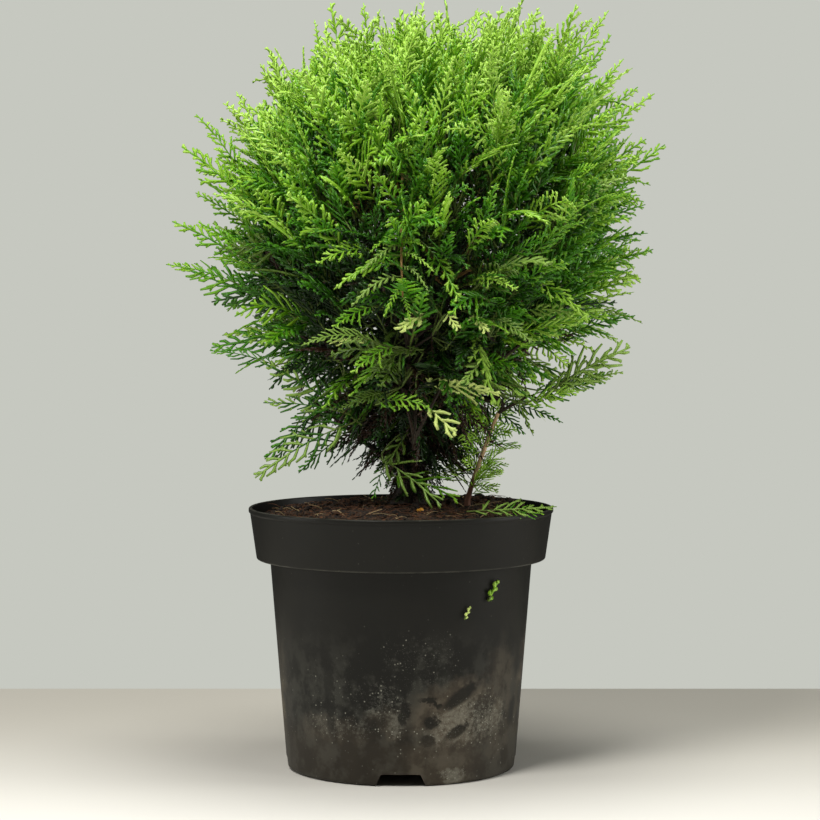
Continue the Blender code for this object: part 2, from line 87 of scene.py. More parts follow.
def colour(name, red, green, blue):
    """A colour property. Its default is given in display values from 0 to 255."""
    linear = [((v / 255 + 0.055) / 1.055) ** 2.4 if v > 10 else v / 3294 for v in (red, green, blue)]
    words = f"Colour of the {name.lower()}"
    return FloatVectorProperty(name=name, description=words, default=linear, subtype="COLOR", min=0, max=1)


class ThujaPotSettings(bpy.types.PropertyGroup):
    height: length("Height", "From the floor to the rim", POT_HIGH.z)
    rim_radius: length("Rim radius", "Outer radius of the rim", POT_HIGH.x)
    rim_bead: length("Rim bead", "How far the bead stands out of the collar", 0.0012)
    collar_height: length("Collar height", "Height of the wide band under the rim", 0.042)
    collar_foot_radius: length("Collar foot radius", "Outer radius at the collar's lower edge", 0.1185)
    wall_top_radius: length("Wall top radius", "Outer radius of the wall under the collar", 0.1075)
    base_radius: length("Base radius", "Outer radius at the floor", 0.094)
    wall: length("Wall", "Thickness of the plastic", 0.0016)
    floor: length("Floor", "Height of the inside floor", 0.012)
    drain_width: length("Drain width", "Width of a drain notch at the floor", 0.040)
    drain_roof: length("Drain roof", "Width of a drain notch at its top", 0.031)
    drain_height: length("Drain height", "Height of a drain notch", 0.010)
    plastic: colour("Plastic", 19, 19, 16)
    # Dust, which also paints the thin highlight lines along the rim and the collar's lower edge.
    dust: colour("Dust", 150, 149, 136)
    earth: colour("Dried earth", 112, 100, 84)


class ThujaSoilSettings(bpy.types.PropertyGroup):
    edge_drop: length("Edge drop", "How far the soil lies below the rim at the wall", 0.0085)
    mound: length("Mound", "Height of the soil's middle above its edge", 0.010)
    clods: whole("Clods", "Number of clods", 420)
    chips: whole("Chips", "Number of bark chips", 1000)
    fibres: whole("Fibres", "Number of root fibres and needles", 620)
    sticks: whole("Sticks", "Number of pale sticks", 24)
    peat: colour("Peat", 64, 43, 24)
    bark_chip: colour("Bark chip", 92, 58, 34)
    dark_chip: colour("Dark chip", 34, 24, 14)
    straw: colour("Straw", 160, 138, 98)
    grain: colour("Orange grain", 250, 176, 66)


class ThujaLimbSettings(bpy.types.PropertyGroup):
    relief: length("Bark relief", "Depth of the furrows in the trunk's bark", 0.0007)
    dead_twigs: whole("Dead twigs", "Number of bare twigs inside the crown", 240)
    bark: colour("Bark", 44, 33, 21)
    young_bark: colour("Young bark", 238, 198, 156)
    stem_foot: colour("Foot of the side stem", 90, 54, 34)
    tan_twig: colour("Tan twigs", 158, 122, 70)
    dead_twig: colour("Dead twig", 46, 32, 24)


class ThujaCrownSettings(bpy.types.PropertyGroup):
    radius: length("Radius", "Radius of the crown at its middle", 0.186)
    above: length("Reach above", "From the crown's middle to its top", 0.176)
    below: length("Reach below", "From the crown's middle to its underside", 0.206)
    middle: length("Middle", "Height of the crown's middle", 0.440)
    outer_sprays: whole("Outer sprays", "Sprays tried on the crown's skin; thin places keep fewer", 1840)
    mid_sprays: whole("Mid sprays", "Sprays tried behind the skin", 620)
    inner_sprays: whole("Inner sprays", "Sprays tried deep in the crown", 420)
    hanging_sprays: whole("Hanging sprays", "Old sprays that hang from the lowest boughs", 230)
    trunk_sprays: whole("Trunk sprays", "Short sprays on the trunk below the crown", 270)
    stem_sprays: whole("Stem sprays", "Young sprays along the side stem", 46)
    spray_length: length("Spray length", "Mean length of a spray", 0.078)
    finger_width: length("Finger width", "Width of a scale-leaved twiglet", 0.0020)
    arch: share("Arch", "How far a spray bends out of its plane", 0.10)
    seed: whole("Seed", "Start of the random draw", 5)


class ThujaLeafColours(bpy.types.PropertyGroup):
    shade: colour("Shaded leaves", 16, 41, 3)
    dark: colour("Dark leaves", 31, 66, 6)
    deep: colour("Deep leaves", 47, 99, 8)
    mid: colour("Middle leaves", 68, 130, 14)
    bright: colour("Bright leaves", 100, 156, 24)
    fresh: colour("Fresh leaves", 132, 180, 42)
    tip: colour("Leaf tips", 158, 200, 74)
    olive: colour("Olive leaves", 82, 110, 32)
    pale: colour("Pale undersides", 204, 222, 126)
    # A paler green that partly paints a sheen of light on the sprays that take it.
    soft: colour("Soft green leaves", 128, 162, 68)
    dry: colour("Dry leaves", 54, 35, 22)
    stalk: colour("Green stalks", 92, 112, 44)


class ThujaStudioSettings(bpy.types.PropertyGroup):
    distance: length("Distance", "From the camera to the pot's axis", 2.04)
    offset: length("Offset", "How far the camera stands to the right", 0.0074)
    height: length("Height", "Height of the camera", 0.393)
    tilt: angle("Tilt", "Camera's tilt down", 2.8)
    view_angle: angle("View angle", "Width of the view", 18.7)
    floor_behind: length("Floor behind", "How far the floor runs behind the pot", 0.39)
    even_light: share("Even light", "Brightness of the light that comes from all around", 0.12)
    backdrop: colour("Backdrop", 198, 200, 192)
    floor: colour("Floor", 186, 182, 172)
    # The floor's lighter colour at the front is painted light.
    floor_front_light: colour("Floor at the front", 249, 247, 242)


# ---- materials ----------------------------------------------------------------------------------
class Value:
    """A number that varies over a surface. Each operator adds the Math node that works it out."""

    def __init__(self, finish, socket):
        self.finish = finish
        self.socket = socket

    def math(self, operation, *others):
        inputs = dict(enumerate((self, *others)))
        return self.finish.add("ShaderNodeMath", {"operation": operation}, inputs)

    def __add__(self, other):
        return self.math("ADD", other)

    def __sub__(self, other):
        return self.math("SUBTRACT", other)

    def __rsub__(self, other):
        return self.finish.add("ShaderNodeMath", {"operation": "SUBTRACT"}, {0: other, 1: self})

    def __mul__(self, other):
        return self.math("MULTIPLY", other)

    def __truediv__(self, other):
        return self.math("DIVIDE", other)

    def __pow__(self, other):
        return self.math("POWER", other)

    __radd__ = __add__
    __rmul__ = __mul__

    def between(self, low, high):
        """0 at low and 1 at high, smooth in between. Low may be the larger one."""
        if low > high:
            return 1 - self.between(high, low)
        settings = {"interpolation_type": "SMOOTHSTEP"}
        inputs = {"Value": self, "From Min": low, "From Max": high}
        return self.finish.add("ShaderNodeMapRange", settings, inputs)


class Finish:
    """A material: one Principled shader and the nodes that feed it."""

    def __init__(self, name, colour, roughness, **constants):
        self.material = bpy.data.materials.new(name)
        self.material.use_nodes = True
        self.tree = self.material.node_tree
        self.shader = self.tree.nodes["Principled BSDF"]
        self.fill(self.shader, {"Base Color": colour, "Roughness": roughness, **constants})

    def fill(self, node, inputs):
        """Sets a node's sockets to values, or links them to what gives a value."""
        for key, value in inputs.items():
            socket = node.inputs[key]
            value = getattr(value, "socket", value)
            if isinstance(value, bpy.types.NodeSocket):
                self.tree.links.new(value, socket)
            elif socket.type == "RGBA":
                socket.default_value = (*value[:3], 1)
            else:
                socket.default_value = value

    def add(self, kind, settings=None, inputs=None, out=0):
        """Adds a node of that type with its settings, then its inputs, and gives its output."""
        node = self.tree.nodes.new(kind)
        for key, value in (settings or {}).items():
            setattr(node, key, value)
        self.fill(node, inputs or {})
        return Value(self, node.outputs[out])

    def place(self):
        """The point on the surface, in metres."""
        return self.add("ShaderNodeTexCoord", out="Object")

    def axes(self, place):
        return [self.add("ShaderNodeSeparateXYZ", inputs={"Vector": place}, out=axis) for axis in "XYZ"]

    def noise(self, place, scale, detail, stretch=(1, 1, 1)):
        spread = self.add("ShaderNodeVectorMath", {"operation": "MULTIPLY"}, {0: place, 1: stretch})
        return self.add("ShaderNodeTexNoise", inputs={"Vector": spread, "Scale": scale, "Detail": detail})

    def mix(self, factor, first, second):
        """Two colours mixed. 6 and 7 are the Mix node's colour sockets, and 2 is its colour output."""
        return self.add("ShaderNodeMix", {"data_type": "RGBA"}, {0: factor, 6: first, 7: second}, out=2)

    def bump(self, height, distance, strength=1.0):
        inputs = {"Height": height, "Distance": distance, "Strength": strength}
        self.fill(self.shader, {"Normal": self.add("ShaderNodeBump", inputs=inputs)})


def plain_finish(name, colour, roughness, shine=0.5):
    """A finish of one colour, for small pieces whose colours are dealt out by the piece."""
    return Finish(name, colour, roughness, **{"Specular IOR Level": shine}).material


# The heights between which the side stem's bark turns from its foot's colour to its own.
STEM_FOOT_FADE = (0.242, 0.262)


def bark_finish(name, colour, dark_share, scale, foot=None):
    """Stringy bark: long fibres of light and dark along the limb, of another colour at its foot."""
    finish = Finish(name, colour, 0.82)
    place = finish.place()
    fibres = finish.noise(place, scale, 4, stretch=(1, 1, 0.12))
    patches = finish.noise(place, scale * 0.2, 3)
    tone = (fibres * 0.65 + patches * 0.35).between(0.36, 0.62)
    dark = [channel * dark_share for channel in colour]
    colour = finish.mix(tone, dark, colour)
    if foot is not None:
        height = finish.axes(place)[2] + patches * 0.02
        colour = finish.mix(height.between(*STEM_FOOT_FADE), foot, colour)
    finish.fill(finish.shader, {"Base Color": colour})
    finish.bump(fibres, 0.0006)
    return finish.material


# Marks on the wall as ellipses: distance round the wall to the right of the front, height, half length,
# half width, tilt in degrees and strength. The first are splashes of dust, then films of dried earth,
# and the last are where something wiped the wall clean.
SPLASHES = (
    (-0.0461, 0.0690, 0.0340, 0.0310, 0, 0.30),
    (-0.0496, 0.0462, 0.0350, 0.0100, 0, 0.62),
    (-0.0130, 0.0677, 0.0175, 0.0180, 0, 0.72),
    (-0.0026, 0.0526, 0.0085, 0.0150, 0, 0.80),
    (0.0163, 0.0980, 0.0300, 0.0250, 0, 0.42),
    (0.0431, 0.0096, 0.0090, 0.0065, 0, 1.00),
    (0.0560, 0.0500, 0.0400, 0.0200, 6, 0.95),
)
EARTH_FILMS = (
    (0.0500, 0.0560, 0.0420, 0.0250, 0, 1.00),
    (0.0352, 0.0190, 0.0330, 0.0200, 0, 0.55),
    (0.0868, 0.0636, 0.0200, 0.0420, 0, 0.50),
    (-0.0560, 0.0440, 0.0360, 0.0110, 0, 0.36),
    (-0.0060, 0.0500, 0.0180, 0.0120, 0, 0.45),
)
WIPED_MARKS = (
    (0.0470, 0.0714, 0.0162, 0.0051, 33, 1.00),
    (0.0444, 0.0427, 0.0106, 0.0042, 28, 1.00),
    (0.0218, 0.0373, 0.0057, 0.0051, 0, 1.00),
    (0.0235, 0.0509, 0.0065, 0.0040, 0, 1.00),
    (0.0235, 0.0673, 0.0085, 0.0021, -30, 1.00),
    (0.0030, 0.0590, 0.0036, 0.0087, 0, 1.00),
    (-0.0562, 0.0754, 0.0046, 0.0379, 0, 0.80),
    (0.0360, 0.0930, 0.0060, 0.0045, 0, 0.80),
)


def marked(across, height, marks, outer, inner):
    """How strongly any of these ellipses marks the wall. It fades between the outer and inner shares."""
    found = None
    for mark_across, mark_height, half_length, half_width, tilt, strength in marks:
        sine, cosine = math.sin(math.radians(tilt)), math.cos(math.radians(tilt))
        right, up = across - mark_across, height - mark_height
        along = (right * cosine + up * sine) / half_length
        aside = (up * cosine - right * sine) / half_width
        mark = (along * along + aside * aside).between(outer, inner) * strength
        found = mark if found is None else found.math("MAXIMUM", mark)
    return found


def pot_finish(pot):
    """Black moulded plastic with dusty splashes and dried earth over its lower half, and painted highlight
    lines at the rim and the collar's lower edge.
    """
    finish = Finish("pot_plastic_dusty", pot.plastic, 0.42, **{"Specular IOR Level": 0.15})
    place = finish.place()
    x, y, z = finish.axes(place)
    around = x.math("ARCTAN2", y * -1) * pot.base_radius
    across = around + (finish.noise(place, 60, 4) - 0.5) * 0.030
    height = z + (finish.noise(place, 75, 4) - 0.5) * 0.026

    cloud = finish.noise(place, 22, 3)
    blotch = finish.noise(place, 75, 4, stretch=(1, 1, 0.8))
    grains = finish.noise(place, 330, 3)
    crumbs = finish.noise(place, 1000, 2)
    streaks = finish.noise(place, 60, 3, stretch=(1, 1, 0.10))
    ragged = (grains - 0.5) * 0.008 + (blotch - 0.5) * 0.008
    unwiped = 1 - marked(around + ragged, z + ragged, WIPED_MARKS, 1.75, 0.45) * 0.88
    behind = around.math("ABSOLUTE").between(0.10, 0.13)
    band = z.between(0.130, 0.075) * z.between(0.026, 0.046)
    round_back = band * behind * ((cloud + blotch).between(0.80, 1.20) * 0.7 + 0.15)

    mottle = (blotch * 0.6 + cloud * 0.4 + grains * 0.15).between(0.52, 0.67) * z.between(0.140, 0.07)
    splashed = marked(across, height, SPLASHES, 2.0, 0.1).math("MAXIMUM", round_back * 0.7)
    powder = (splashed * 0.22 + blotch * 0.25 + grains * 0.55).between(0.50, 0.70) * splashed
    specks = (splashed * 0.085 + crumbs).between(0.680, 0.740)
    cells = {"Vector": place, "Scale": 460}
    near = finish.add("ShaderNodeTexVoronoi", inputs=cells, out="Distance")
    luck = finish.axes(finish.add("ShaderNodeTexVoronoi", inputs=cells, out="Color"))[0]
    few = (luck + splashed * 0.20 + z.between(0.12, 0.03) * 0.05).between(0.970, 1.08)
    drops = near.between(0.34, 0.14) * few
    earthed = marked(across, height, EARTH_FILMS, 1.7, 0.3).math("MAXIMUM", round_back)
    patchy = (blotch * 0.50 + cloud * 0.2 + streaks * 0.40 + grains * 0.2).between(0.50, 0.78)
    film = earthed * (patchy * 0.7 + 0.3)
    foot = z.between(0.050, 0.030) * (0.07 + streaks * 0.10)

    tone = finish.mix(foot + cloud * 0.02, pot.plastic, pot.earth)
    tone = finish.mix(film * unwiped * 0.48, tone, pot.earth)
    tone = finish.mix((powder * 0.26 + mottle * 0.07) * unwiped, tone, pot.dust)
    dots = (specks * splashed * 0.42 + drops * 0.80) * (unwiped * 0.8 + 0.2)
    tone = finish.mix(dots.math("MINIMUM", 0.9), tone, pot.dust)
    # Painted highlights: thin lines of the dust colour along the rim's top and the collar's lower edge,
    # where light catches them.
    collar_foot = pot.height - pot.collar_height
    radius = (x * x + y * y) ** 0.5
    rim_highlight = z.between(pot.height - 0.0010, pot.height - 0.0002) * 0.16
    edge = z.between(collar_foot + 0.0016, collar_foot + 0.0004) * radius.between(0.1150, 0.1172) * 0.14
    tone = finish.mix((rim_highlight + edge) * (blotch.between(0.35, 0.60) * 0.7 + 0.3), tone, pot.dust)
    rough = 0.38 + film * 0.28 + powder * 0.25 + foot * 0.8 + blotch * 0.10
    finish.fill(finish.shader, {"Base Color": tone, "Roughness": rough})
    finish.bump(grains * 0.4 + powder + drops * 0.6, 0.00010, 0.6)
    return finish.material


def soil_finish(soil):
    """Moist peat: nearly black in the hollows, brown on the crumbs; the black in the hollows is partly
    painted shade.
    """
    finish = Finish("soil_peat", soil.peat, 0.92)
    place = finish.place()
    crumbs = finish.noise(place, 420, 4)
    patches = finish.noise(place, 60, 2)
    dark = [channel * 0.12 for channel in soil.peat]
    # The crumbs' noise also makes the bump, so the dark in its hollows is partly painted shade.
    tone = finish.mix((crumbs * 0.7 + patches * 0.3).between(0.43, 0.59), dark, soil.peat)
    tone = finish.mix(crumbs.between(0.62, 0.70) * 0.7, tone, soil.bark_chip)
    finish.fill(finish.shader, {"Base Color": tone})
    finish.bump(crumbs, 0.0012)
    return finish.material


# ---- meshes -------------------------------------------------------------------------------------
def unit(vectors):
    return vectors / np.linalg.norm(vectors, axis=-1, keepdims=True)


def headings(turn, rise):
    """Directions at those turns round an upright axis, with that rise."""
    return np.stack([np.cos(turn), np.sin(turn), np.broadcast_to(rise, turn.shape)], axis=1)


def piece_from(name, vertices, faces, materials, slots=None, smooth=True):
    """A new object from arrays. Slots gives each face's place in the list of materials."""
    mesh = bpy.data.meshes.new(name)
    mesh.from_pydata(vertices, [], faces)
    for material in materials:
        mesh.materials.append(material)
    if slots is not None:
        mesh.polygons.foreach_set("material_index", np.asarray(slots, dtype=np.int32))
    if smooth:
        mesh.shade_smooth()
    mesh.update()
    piece = bpy.data.objects.new(name, mesh)
    bpy.context.scene.collection.objects.link(piece)
    return piece


def object_from(builder, name):
    """A new object from a bmesh, which is freed."""
    mesh = bpy.data.meshes.new(name)
    builder.to_mesh(mesh)
    builder.free()
    made = bpy.data.objects.new(name, mesh)
    bpy.context.scene.collection.objects.link(made)
    return made


def dress(piece, slot, *nodes):
    """The piece rides on the plant's one body and stands for those nodes. The slot is not used."""
    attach(piece, BODY)
    if nodes:
        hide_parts(*nodes)


def joined(lists):
    """One mesh's arrays from several (vertices, faces, slot) triples."""
    vertices, faces, slots, start = [], [], [], 0
    for points, corners, slot in lists:
        vertices.append(points)
        faces.append(corners + start)
        slots.append(np.full(len(corners), slot) if np.isscalar(slot) else slot)
        start += len(points)
    return np.concatenate(vertices), np.concatenate(faces), np.concatenate(slots)


def lay(name, bits, materials, slot, *nodes, smooth=True):
    """Joins the bits, which are (vertices, faces, place in materials), into one dressed piece."""
    vertices, faces, places = joined(bits)
    dress(piece_from(name, vertices, faces, materials, places, smooth), slot, *nodes)


def tubes(paths, radii, sides):
    """Triangles of round tubes along paths (tubes, rings, 3).

    There is a radius for each ring, or for each ring and side. The faces are first one triangle of every
    quad and then the other.
    """
    count, rings, _ = paths.shape
    along = unit(np.gradient(paths, axis=1))
    mean = along.mean(axis=1, keepdims=True)
    upright = np.abs(mean[..., 2:]) > 0.85 * np.linalg.norm(mean, axis=-1, keepdims=True)
    reference = np.where(upright, (1.0, 0.0, 0.0), (0.0, 0.0, 1.0))
    side = unit(np.cross(along, np.broadcast_to(reference, along.shape)))
    up = np.cross(along, side)
    turn = np.arange(sides) * (2 * math.pi / sides)
    ring = side[:, :, None] * np.cos(turn)[:, None] + up[:, :, None] * np.sin(turn)[:, None]
    radii = radii if radii.ndim == 3 else radii[..., None]
    vertices = paths[:, :, None] + ring * radii[..., None]
    here = np.arange(sides)
    there = (here + 1) % sides
    low = (np.arange(count)[:, None] * rings + np.arange(rings - 1)) * sides
    a, b = low[..., None] + here, low[..., None] + there
    quads = np.stack([a, b, b + sides, a + sides], axis=-1).reshape(-1, 4)
    return vertices.reshape(-1, 3), np.concatenate([quads[:, (0, 1, 2)], quads[:, (0, 2, 3)]])


def tapered(paths, root_radius, tip_radius, sides):
    """Tubes along paths, each of them with an even taper."""
    radii = np.linspace(root_radius, tip_radius, paths.shape[1])
    return tubes(paths, radii * np.ones((len(paths), 1)), sides)


def ring_faces(first, steps):
    """Quads between the ring whose first corner has that number and the ring after it."""
    after = [(step + 1) % steps for step in range(steps)]
    low, high = first, first + steps
    return [(low + step, high + step, high + after[step], low + after[step]) for step in range(steps)]


def read_at(places, known, points):
    """Points (n, 3) that are known at some places, read at other places in a straight line between."""
    return np.stack([np.interp(places, known, column) for column in points.T], axis=-1)


def curved(start, leave, arrive, end, steps):
    """Points (curves, steps, 3) along cubic curves."""
    t = np.linspace(0, 1, steps)[None, :, None]
    s = 1 - t
    knots = [point[:, None] for point in (start, leave, arrive, end)]
    return knots[0] * s**3 + knots[1] * 3 * s * s * t + knots[2] * 3 * s * t * t + knots[3] * t**3


# ---- limbs: the same rule as the solids ---------------------------------------------------------
FOOT = SOIL_HIGH.z + GAP
# The trunk: rise above its foot, place across and radius.
TRUNK_ROWS = (
    (0.000, 0.0070, 0.0160),
    (0.004, 0.0070, 0.0140),
    (0.012, 0.0072, 0.0118),
    (0.030, 0.0078, 0.0104),
    (0.060, 0.0098, 0.0094),
    (0.095, 0.0128, 0.0082),
    (0.135, 0.0150, 0.0068),
    (0.185, 0.0165, 0.0052),
    (0.235, 0.0172, 0.0036),
    (0.270, 0.0170, 0.0026),
)
# The side stem: place and radius.
SIDE_STEM_ROWS = (
    (0.0540, -0.0200, 0.000, 0.0034),
    (0.0540, -0.0200, 0.004, 0.0027),
    (0.0580, -0.0205, 0.018, 0.0025),
    (0.0640, -0.0210, 0.036, 0.0023),
    (0.0720, -0.0220, 0.058, 0.0020),
    (0.0790, -0.0230, 0.076, 0.0017),
)

# Each tier of masses: name, count, first azimuth, heart's radius and height, the heights on the trunk
# where its boughs leave, the bough's reach towards the heart and its root radius.
TIERS = (
    ("skirt", 5, 194, 0.092, 0.292, (0.238, 0.262), 0.46, 0.0034),
    ("lower", 6, 262, 0.108, 0.366, (0.266, 0.306), 0.50, 0.0040),
    ("middle", 6, 292, 0.112, 0.454, (0.312, 0.352), 0.46, 0.0040),
    ("upper", 4, 250, 0.088, 0.540, (0.362, 0.392), 0.40, 0.0034),
)
TOP_HEART_HEIGHT = 0.548
# The mass that the side stem carries in place of a bough.
SIDE_STEM_MASS = "skirt_3"
# The share of its root radius that a bough loses on the way to its tip.
BOUGH_TAPER = 0.52
# The crown's axis stands this far to the right of the pot's.
CROWN_X = 0.019

# The tips that stand furthest out of the crown, as (azimuth, height, distance from the crown's axis).
FAR_TIPS = (
    (176, 0.412, 0.204),
    (183, 0.345, 0.172),
    (190, 0.256, 0.130),
    (355, 0.508, 0.194),
    (8, 0.372, 0.168),
    (340, 0.617, 0.128),
    (120, 0.622, 0.040),
    (265, 0.400, 0.198),
    (80, 0.430, 0.200),
)


def trunk_path():
    """(points, radii) of the trunk's middle line."""
    points = [(x, 0.003 * math.sin(rise * 22), FOOT + rise) for rise, x, _ in TRUNK_ROWS]
    return np.array(points), np.array([radius for _, _, radius in TRUNK_ROWS])


def side_stem_path():
    rows = np.array(SIDE_STEM_ROWS)
    return rows[:, :3] + (0, 0, FOOT), rows[:, 3]


def smoothed(points, radii, steps):
    """A limb's rows read at even steps of its length, with the middle line's corners softened."""
    walked = np.concatenate([[0], np.cumsum(np.linalg.norm(np.diff(points, axis=0), axis=1))])
    read = np.linspace(0, walked[-1], steps)
    soft = read_at(read, walked, points)
    for _ in range(3):
        soft[1:-1] = (soft[:-2] + soft[1:-1] * 2 + soft[2:]) / 4
    return soft, np.interp(read, walked, radii)


def outward(azimuth):
    turn = math.radians(azimuth)
    return np.array((math.cos(turn), math.sin(turn), 0.0))


class Mass:
    """One mass of foliage: its name, its heart, and the path of the limb that carries it."""

    def __init__(self, name, heart, limb, radius):
        self.name = name
        self.heart = heart
        self.limb = limb
        self.radius = radius

    def stem(self):
        """(start, end) of the stem that grows on from the limb's tip."""
        tip = self.limb[-1]
        along = unit(tip - self.limb[-2])
        return tip, tip + (self.heart - tip) * 0.9 + along * 0.006


def bough_path(leave_height, heart, reach, root_radius):
    """The bough rises out of the trunk, then bends out towards its mass."""
    points, radii = trunk_path()
    start = read_at(leave_height, points[:, 2], points)
    trunk_radius = np.interp(leave_height, points[:, 2], radii)
    away = unit((heart - start) * (1, 1, 0))
    start = start + away * max(0.0, trunk_radius - root_radius) * 0.5
    end = start + (heart - start) * reach
    span = np.linalg.norm(end - start)
    leave = start + unit(away * 0.62 + (0, 0, 0.78)) * span * 0.42
    arrive = end - unit(heart - start) * span * 0.35 - away * span * 0.06
    return curved(start[None], leave[None], arrive[None], end[None], 16)[0]


def all_masses():
    """Every mass of the crown, and the boughs' paths by name."""
    trunk, _ = smoothed(*trunk_path(), 60)
    side, _ = smoothed(*side_stem_path(), 24)
    masses = [Mass("top", np.array((CROWN_X, 0, TOP_HEART_HEIGHT)), trunk, 0.0024)]
    boughs = {}
    for tier, count, first, radius, height, (low, high), reach, root in TIERS:
        for turn in range(count):
            name = f"{tier}_{turn + 1}"
            heart = np.array((CROWN_X, 0, height + 0.010 * (-1) ** turn))
            heart = heart + outward(first + 360 * turn / count) * radius
            order = (turn * 2) % count if count % 2 else (turn * 2 + (turn * 2 >= count)) % count
            if name == SIDE_STEM_MASS:
                masses.append(Mass(name, heart, side, 0.0016))
                continue
            path = bough_path(low + (high - low) * order / (count - 1), heart, reach, root)
            boughs[name] = (path, root)
            masses.append(Mass(name, heart, path, root * (1 - BOUGH_TAPER)))
    return masses, boughs


def furrowed(radii, sides, relief, seed, knots=0.0):
    """Radii per ring and side with stringy furrows that run up the limb and slowly wander round it."""
    rows = len(radii)
    found = np.empty((rows, sides))
    for ring in range(rows):
        swell = 1 + knots * noise.noise(Vector((ring * 0.35, seed, 0)))
        for side in range(sides):
            turn = 2 * math.pi * side / sides + ring * 0.02
            place = Vector((math.cos(turn) * 3.2, math.sin(turn) * 3.2, ring * 0.09 + seed))
            ridge = 1 - abs(noise.noise(place)) * 2
            found[ring, side] = radii[ring] * swell + relief * ridge + relief * 0.5 * noise.noise(place * 3)
    return found


# ---- the crown's shape --------------------------------------------------------------------------
# How square the crown's outline is above and below its middle: 2 is an ellipse.
ROUND_ABOVE = 2.6
ROUND_BELOW = 1.8
# The crown leans to the right by this much of the square of the height above its middle.
CROWN_LEAN = 0.9
# The tips on the crown's skin stay above this height.
LEAF_FLOOR = 0.2335
# The height, on the crown's axis, that the sprays grow away from.
GROWTH_CENTRE_Z = 0.345
# Height in the crown counts from 0 at the first of these heights to 1 this far above it.
CROWN_FOOT_Z = 0.25
CROWN_SPAN = 0.36


class Crown:
    """The crown's outline, with points and directions as arrays (n, 3)."""

    def __init__(self, sizes):
        self.sizes = sizes
        self.heart = np.array((CROWN_X, 0.0, sizes.middle))

    def reach(self, directions):
        """How far the skin lies from the crown's middle in each direction."""
        above = directions[:, 2] >= 0
        height = np.where(above, self.sizes.above, self.sizes.below)
        power = np.where(above, ROUND_ABOVE, ROUND_BELOW)
        level = np.hypot(directions[:, 0], directions[:, 1]) / self.sizes.radius
        return ((np.abs(directions[:, 2]) / height) ** power + level**power) ** (-1 / power)

    def lean(self, points):
        """The shift to the right, which grows towards the crown's top."""
        shift = np.zeros_like(points)
        shift[:, 0] = CROWN_LEAN * np.maximum(0, points[:, 2] - self.sizes.middle) ** 2
        return shift

    def skin(self, directions, shares):
        """Points in those directions, at those shares of the way to the skin."""
        points = self.heart + directions * (self.reach(directions) * shares)[:, None]
        points[:, 2] = np.maximum(points[:, 2], LEAF_FLOOR + 0.004)
        return points + self.lean(points)

    def share(self, points):
        """Where each point lies between the crown's middle, 0, and its skin, 1."""
        away = points - self.lean(points) - self.heart
        return np.linalg.norm(away, axis=1) / self.reach(unit(away))


def even_directions(count):
    """Directions spread evenly over a sphere, along a golden spiral."""
    turn = np.arange(count) * math.pi * (3 - math.sqrt(5))
    z = 1 - 2 * (np.arange(count) + 0.5) / count
    level = np.sqrt(1 - z * z)
    return np.stack([np.cos(turn) * level, np.sin(turn) * level, z], axis=1)


# ---- one spray ----------------------------------------------------------------------------------
# How a kind of spray grows, and from how many shapes its sprays are dealt. Lengths are shares of the
# spray's own length, angles are degrees. Taper says how early its fingers shorten towards the tip: 1 is
# a broad fan, 2 a lance.
SprayKind = namedtuple("SprayKind", "shapes fingers reach taper angle bend tooth_every tooth_reach thick")
SPRAY_KINDS = {
    "lance": SprayKind(8, 20, 0.30, 1.9, (34, 52), (-4, 20), 0.058, 0.044, 1.0),
    "lobed": SprayKind(6, 19, 0.31, 1.1, (34, 52), (-4, 22), 0.060, 0.044, 1.0),
    "comb": SprayKind(6, 23, 0.26, 1.1, (42, 62), (8, 38), 0.260, 0.036, 1.02),
    "broad": SprayKind(7, 15, 0.31, 1.0, (34, 52), (-8, 18), 0.090, 0.064, 1.42),
    "open": SprayKind(4, 17, 0.34, 0.9, (38, 56), (6, 34), 0.240, 0.046, 1.15),
    "plain": SprayKind(5, 14, 0.31, 1.2, (34, 56), (0, 24), 0.170, 0.050, 1.15),
    "hand": SprayKind(3, 7, 0.52, 0.5, (32, 50), (10, 30), 0.500, 0.070, 3.6),
    "sprig": SprayKind(3, 9, 0.46, 0.9, (34, 54), (-4, 14), 0.400, 0.030, 1.45),
    "strand": SprayKind(3, 15, 0.17, 0.6, (34, 54), (0, 12), 0.500, 0.030, 1.80),
    "wisp": SprayKind(3, 11, 0.42, 0.8, (20, 42), (-6, 14), 0.500, 0.030, 1.25),
    "frond": SprayKind(2, 12, 0.40, 0.8, (36, 54), (2, 20), 0.300, 0.060, 1.5),
    "scrap": SprayKind(2, 5, 0.36, 0.5, (36, 58), (-4, 10), 0.300, 0.050, 9.0),
}
# A spray is widest at this share of its length, and a finger bends at this share of its own.
WIDEST = 0.32
KNEE = 0.55


def beside(start, end):
    """The flat direction at right angles to the way from start to end."""
    return unit(end - start)[::-1] * (-1, 1)


def flat_heading(turn):
    return np.array((math.cos(turn), math.sin(turn)))


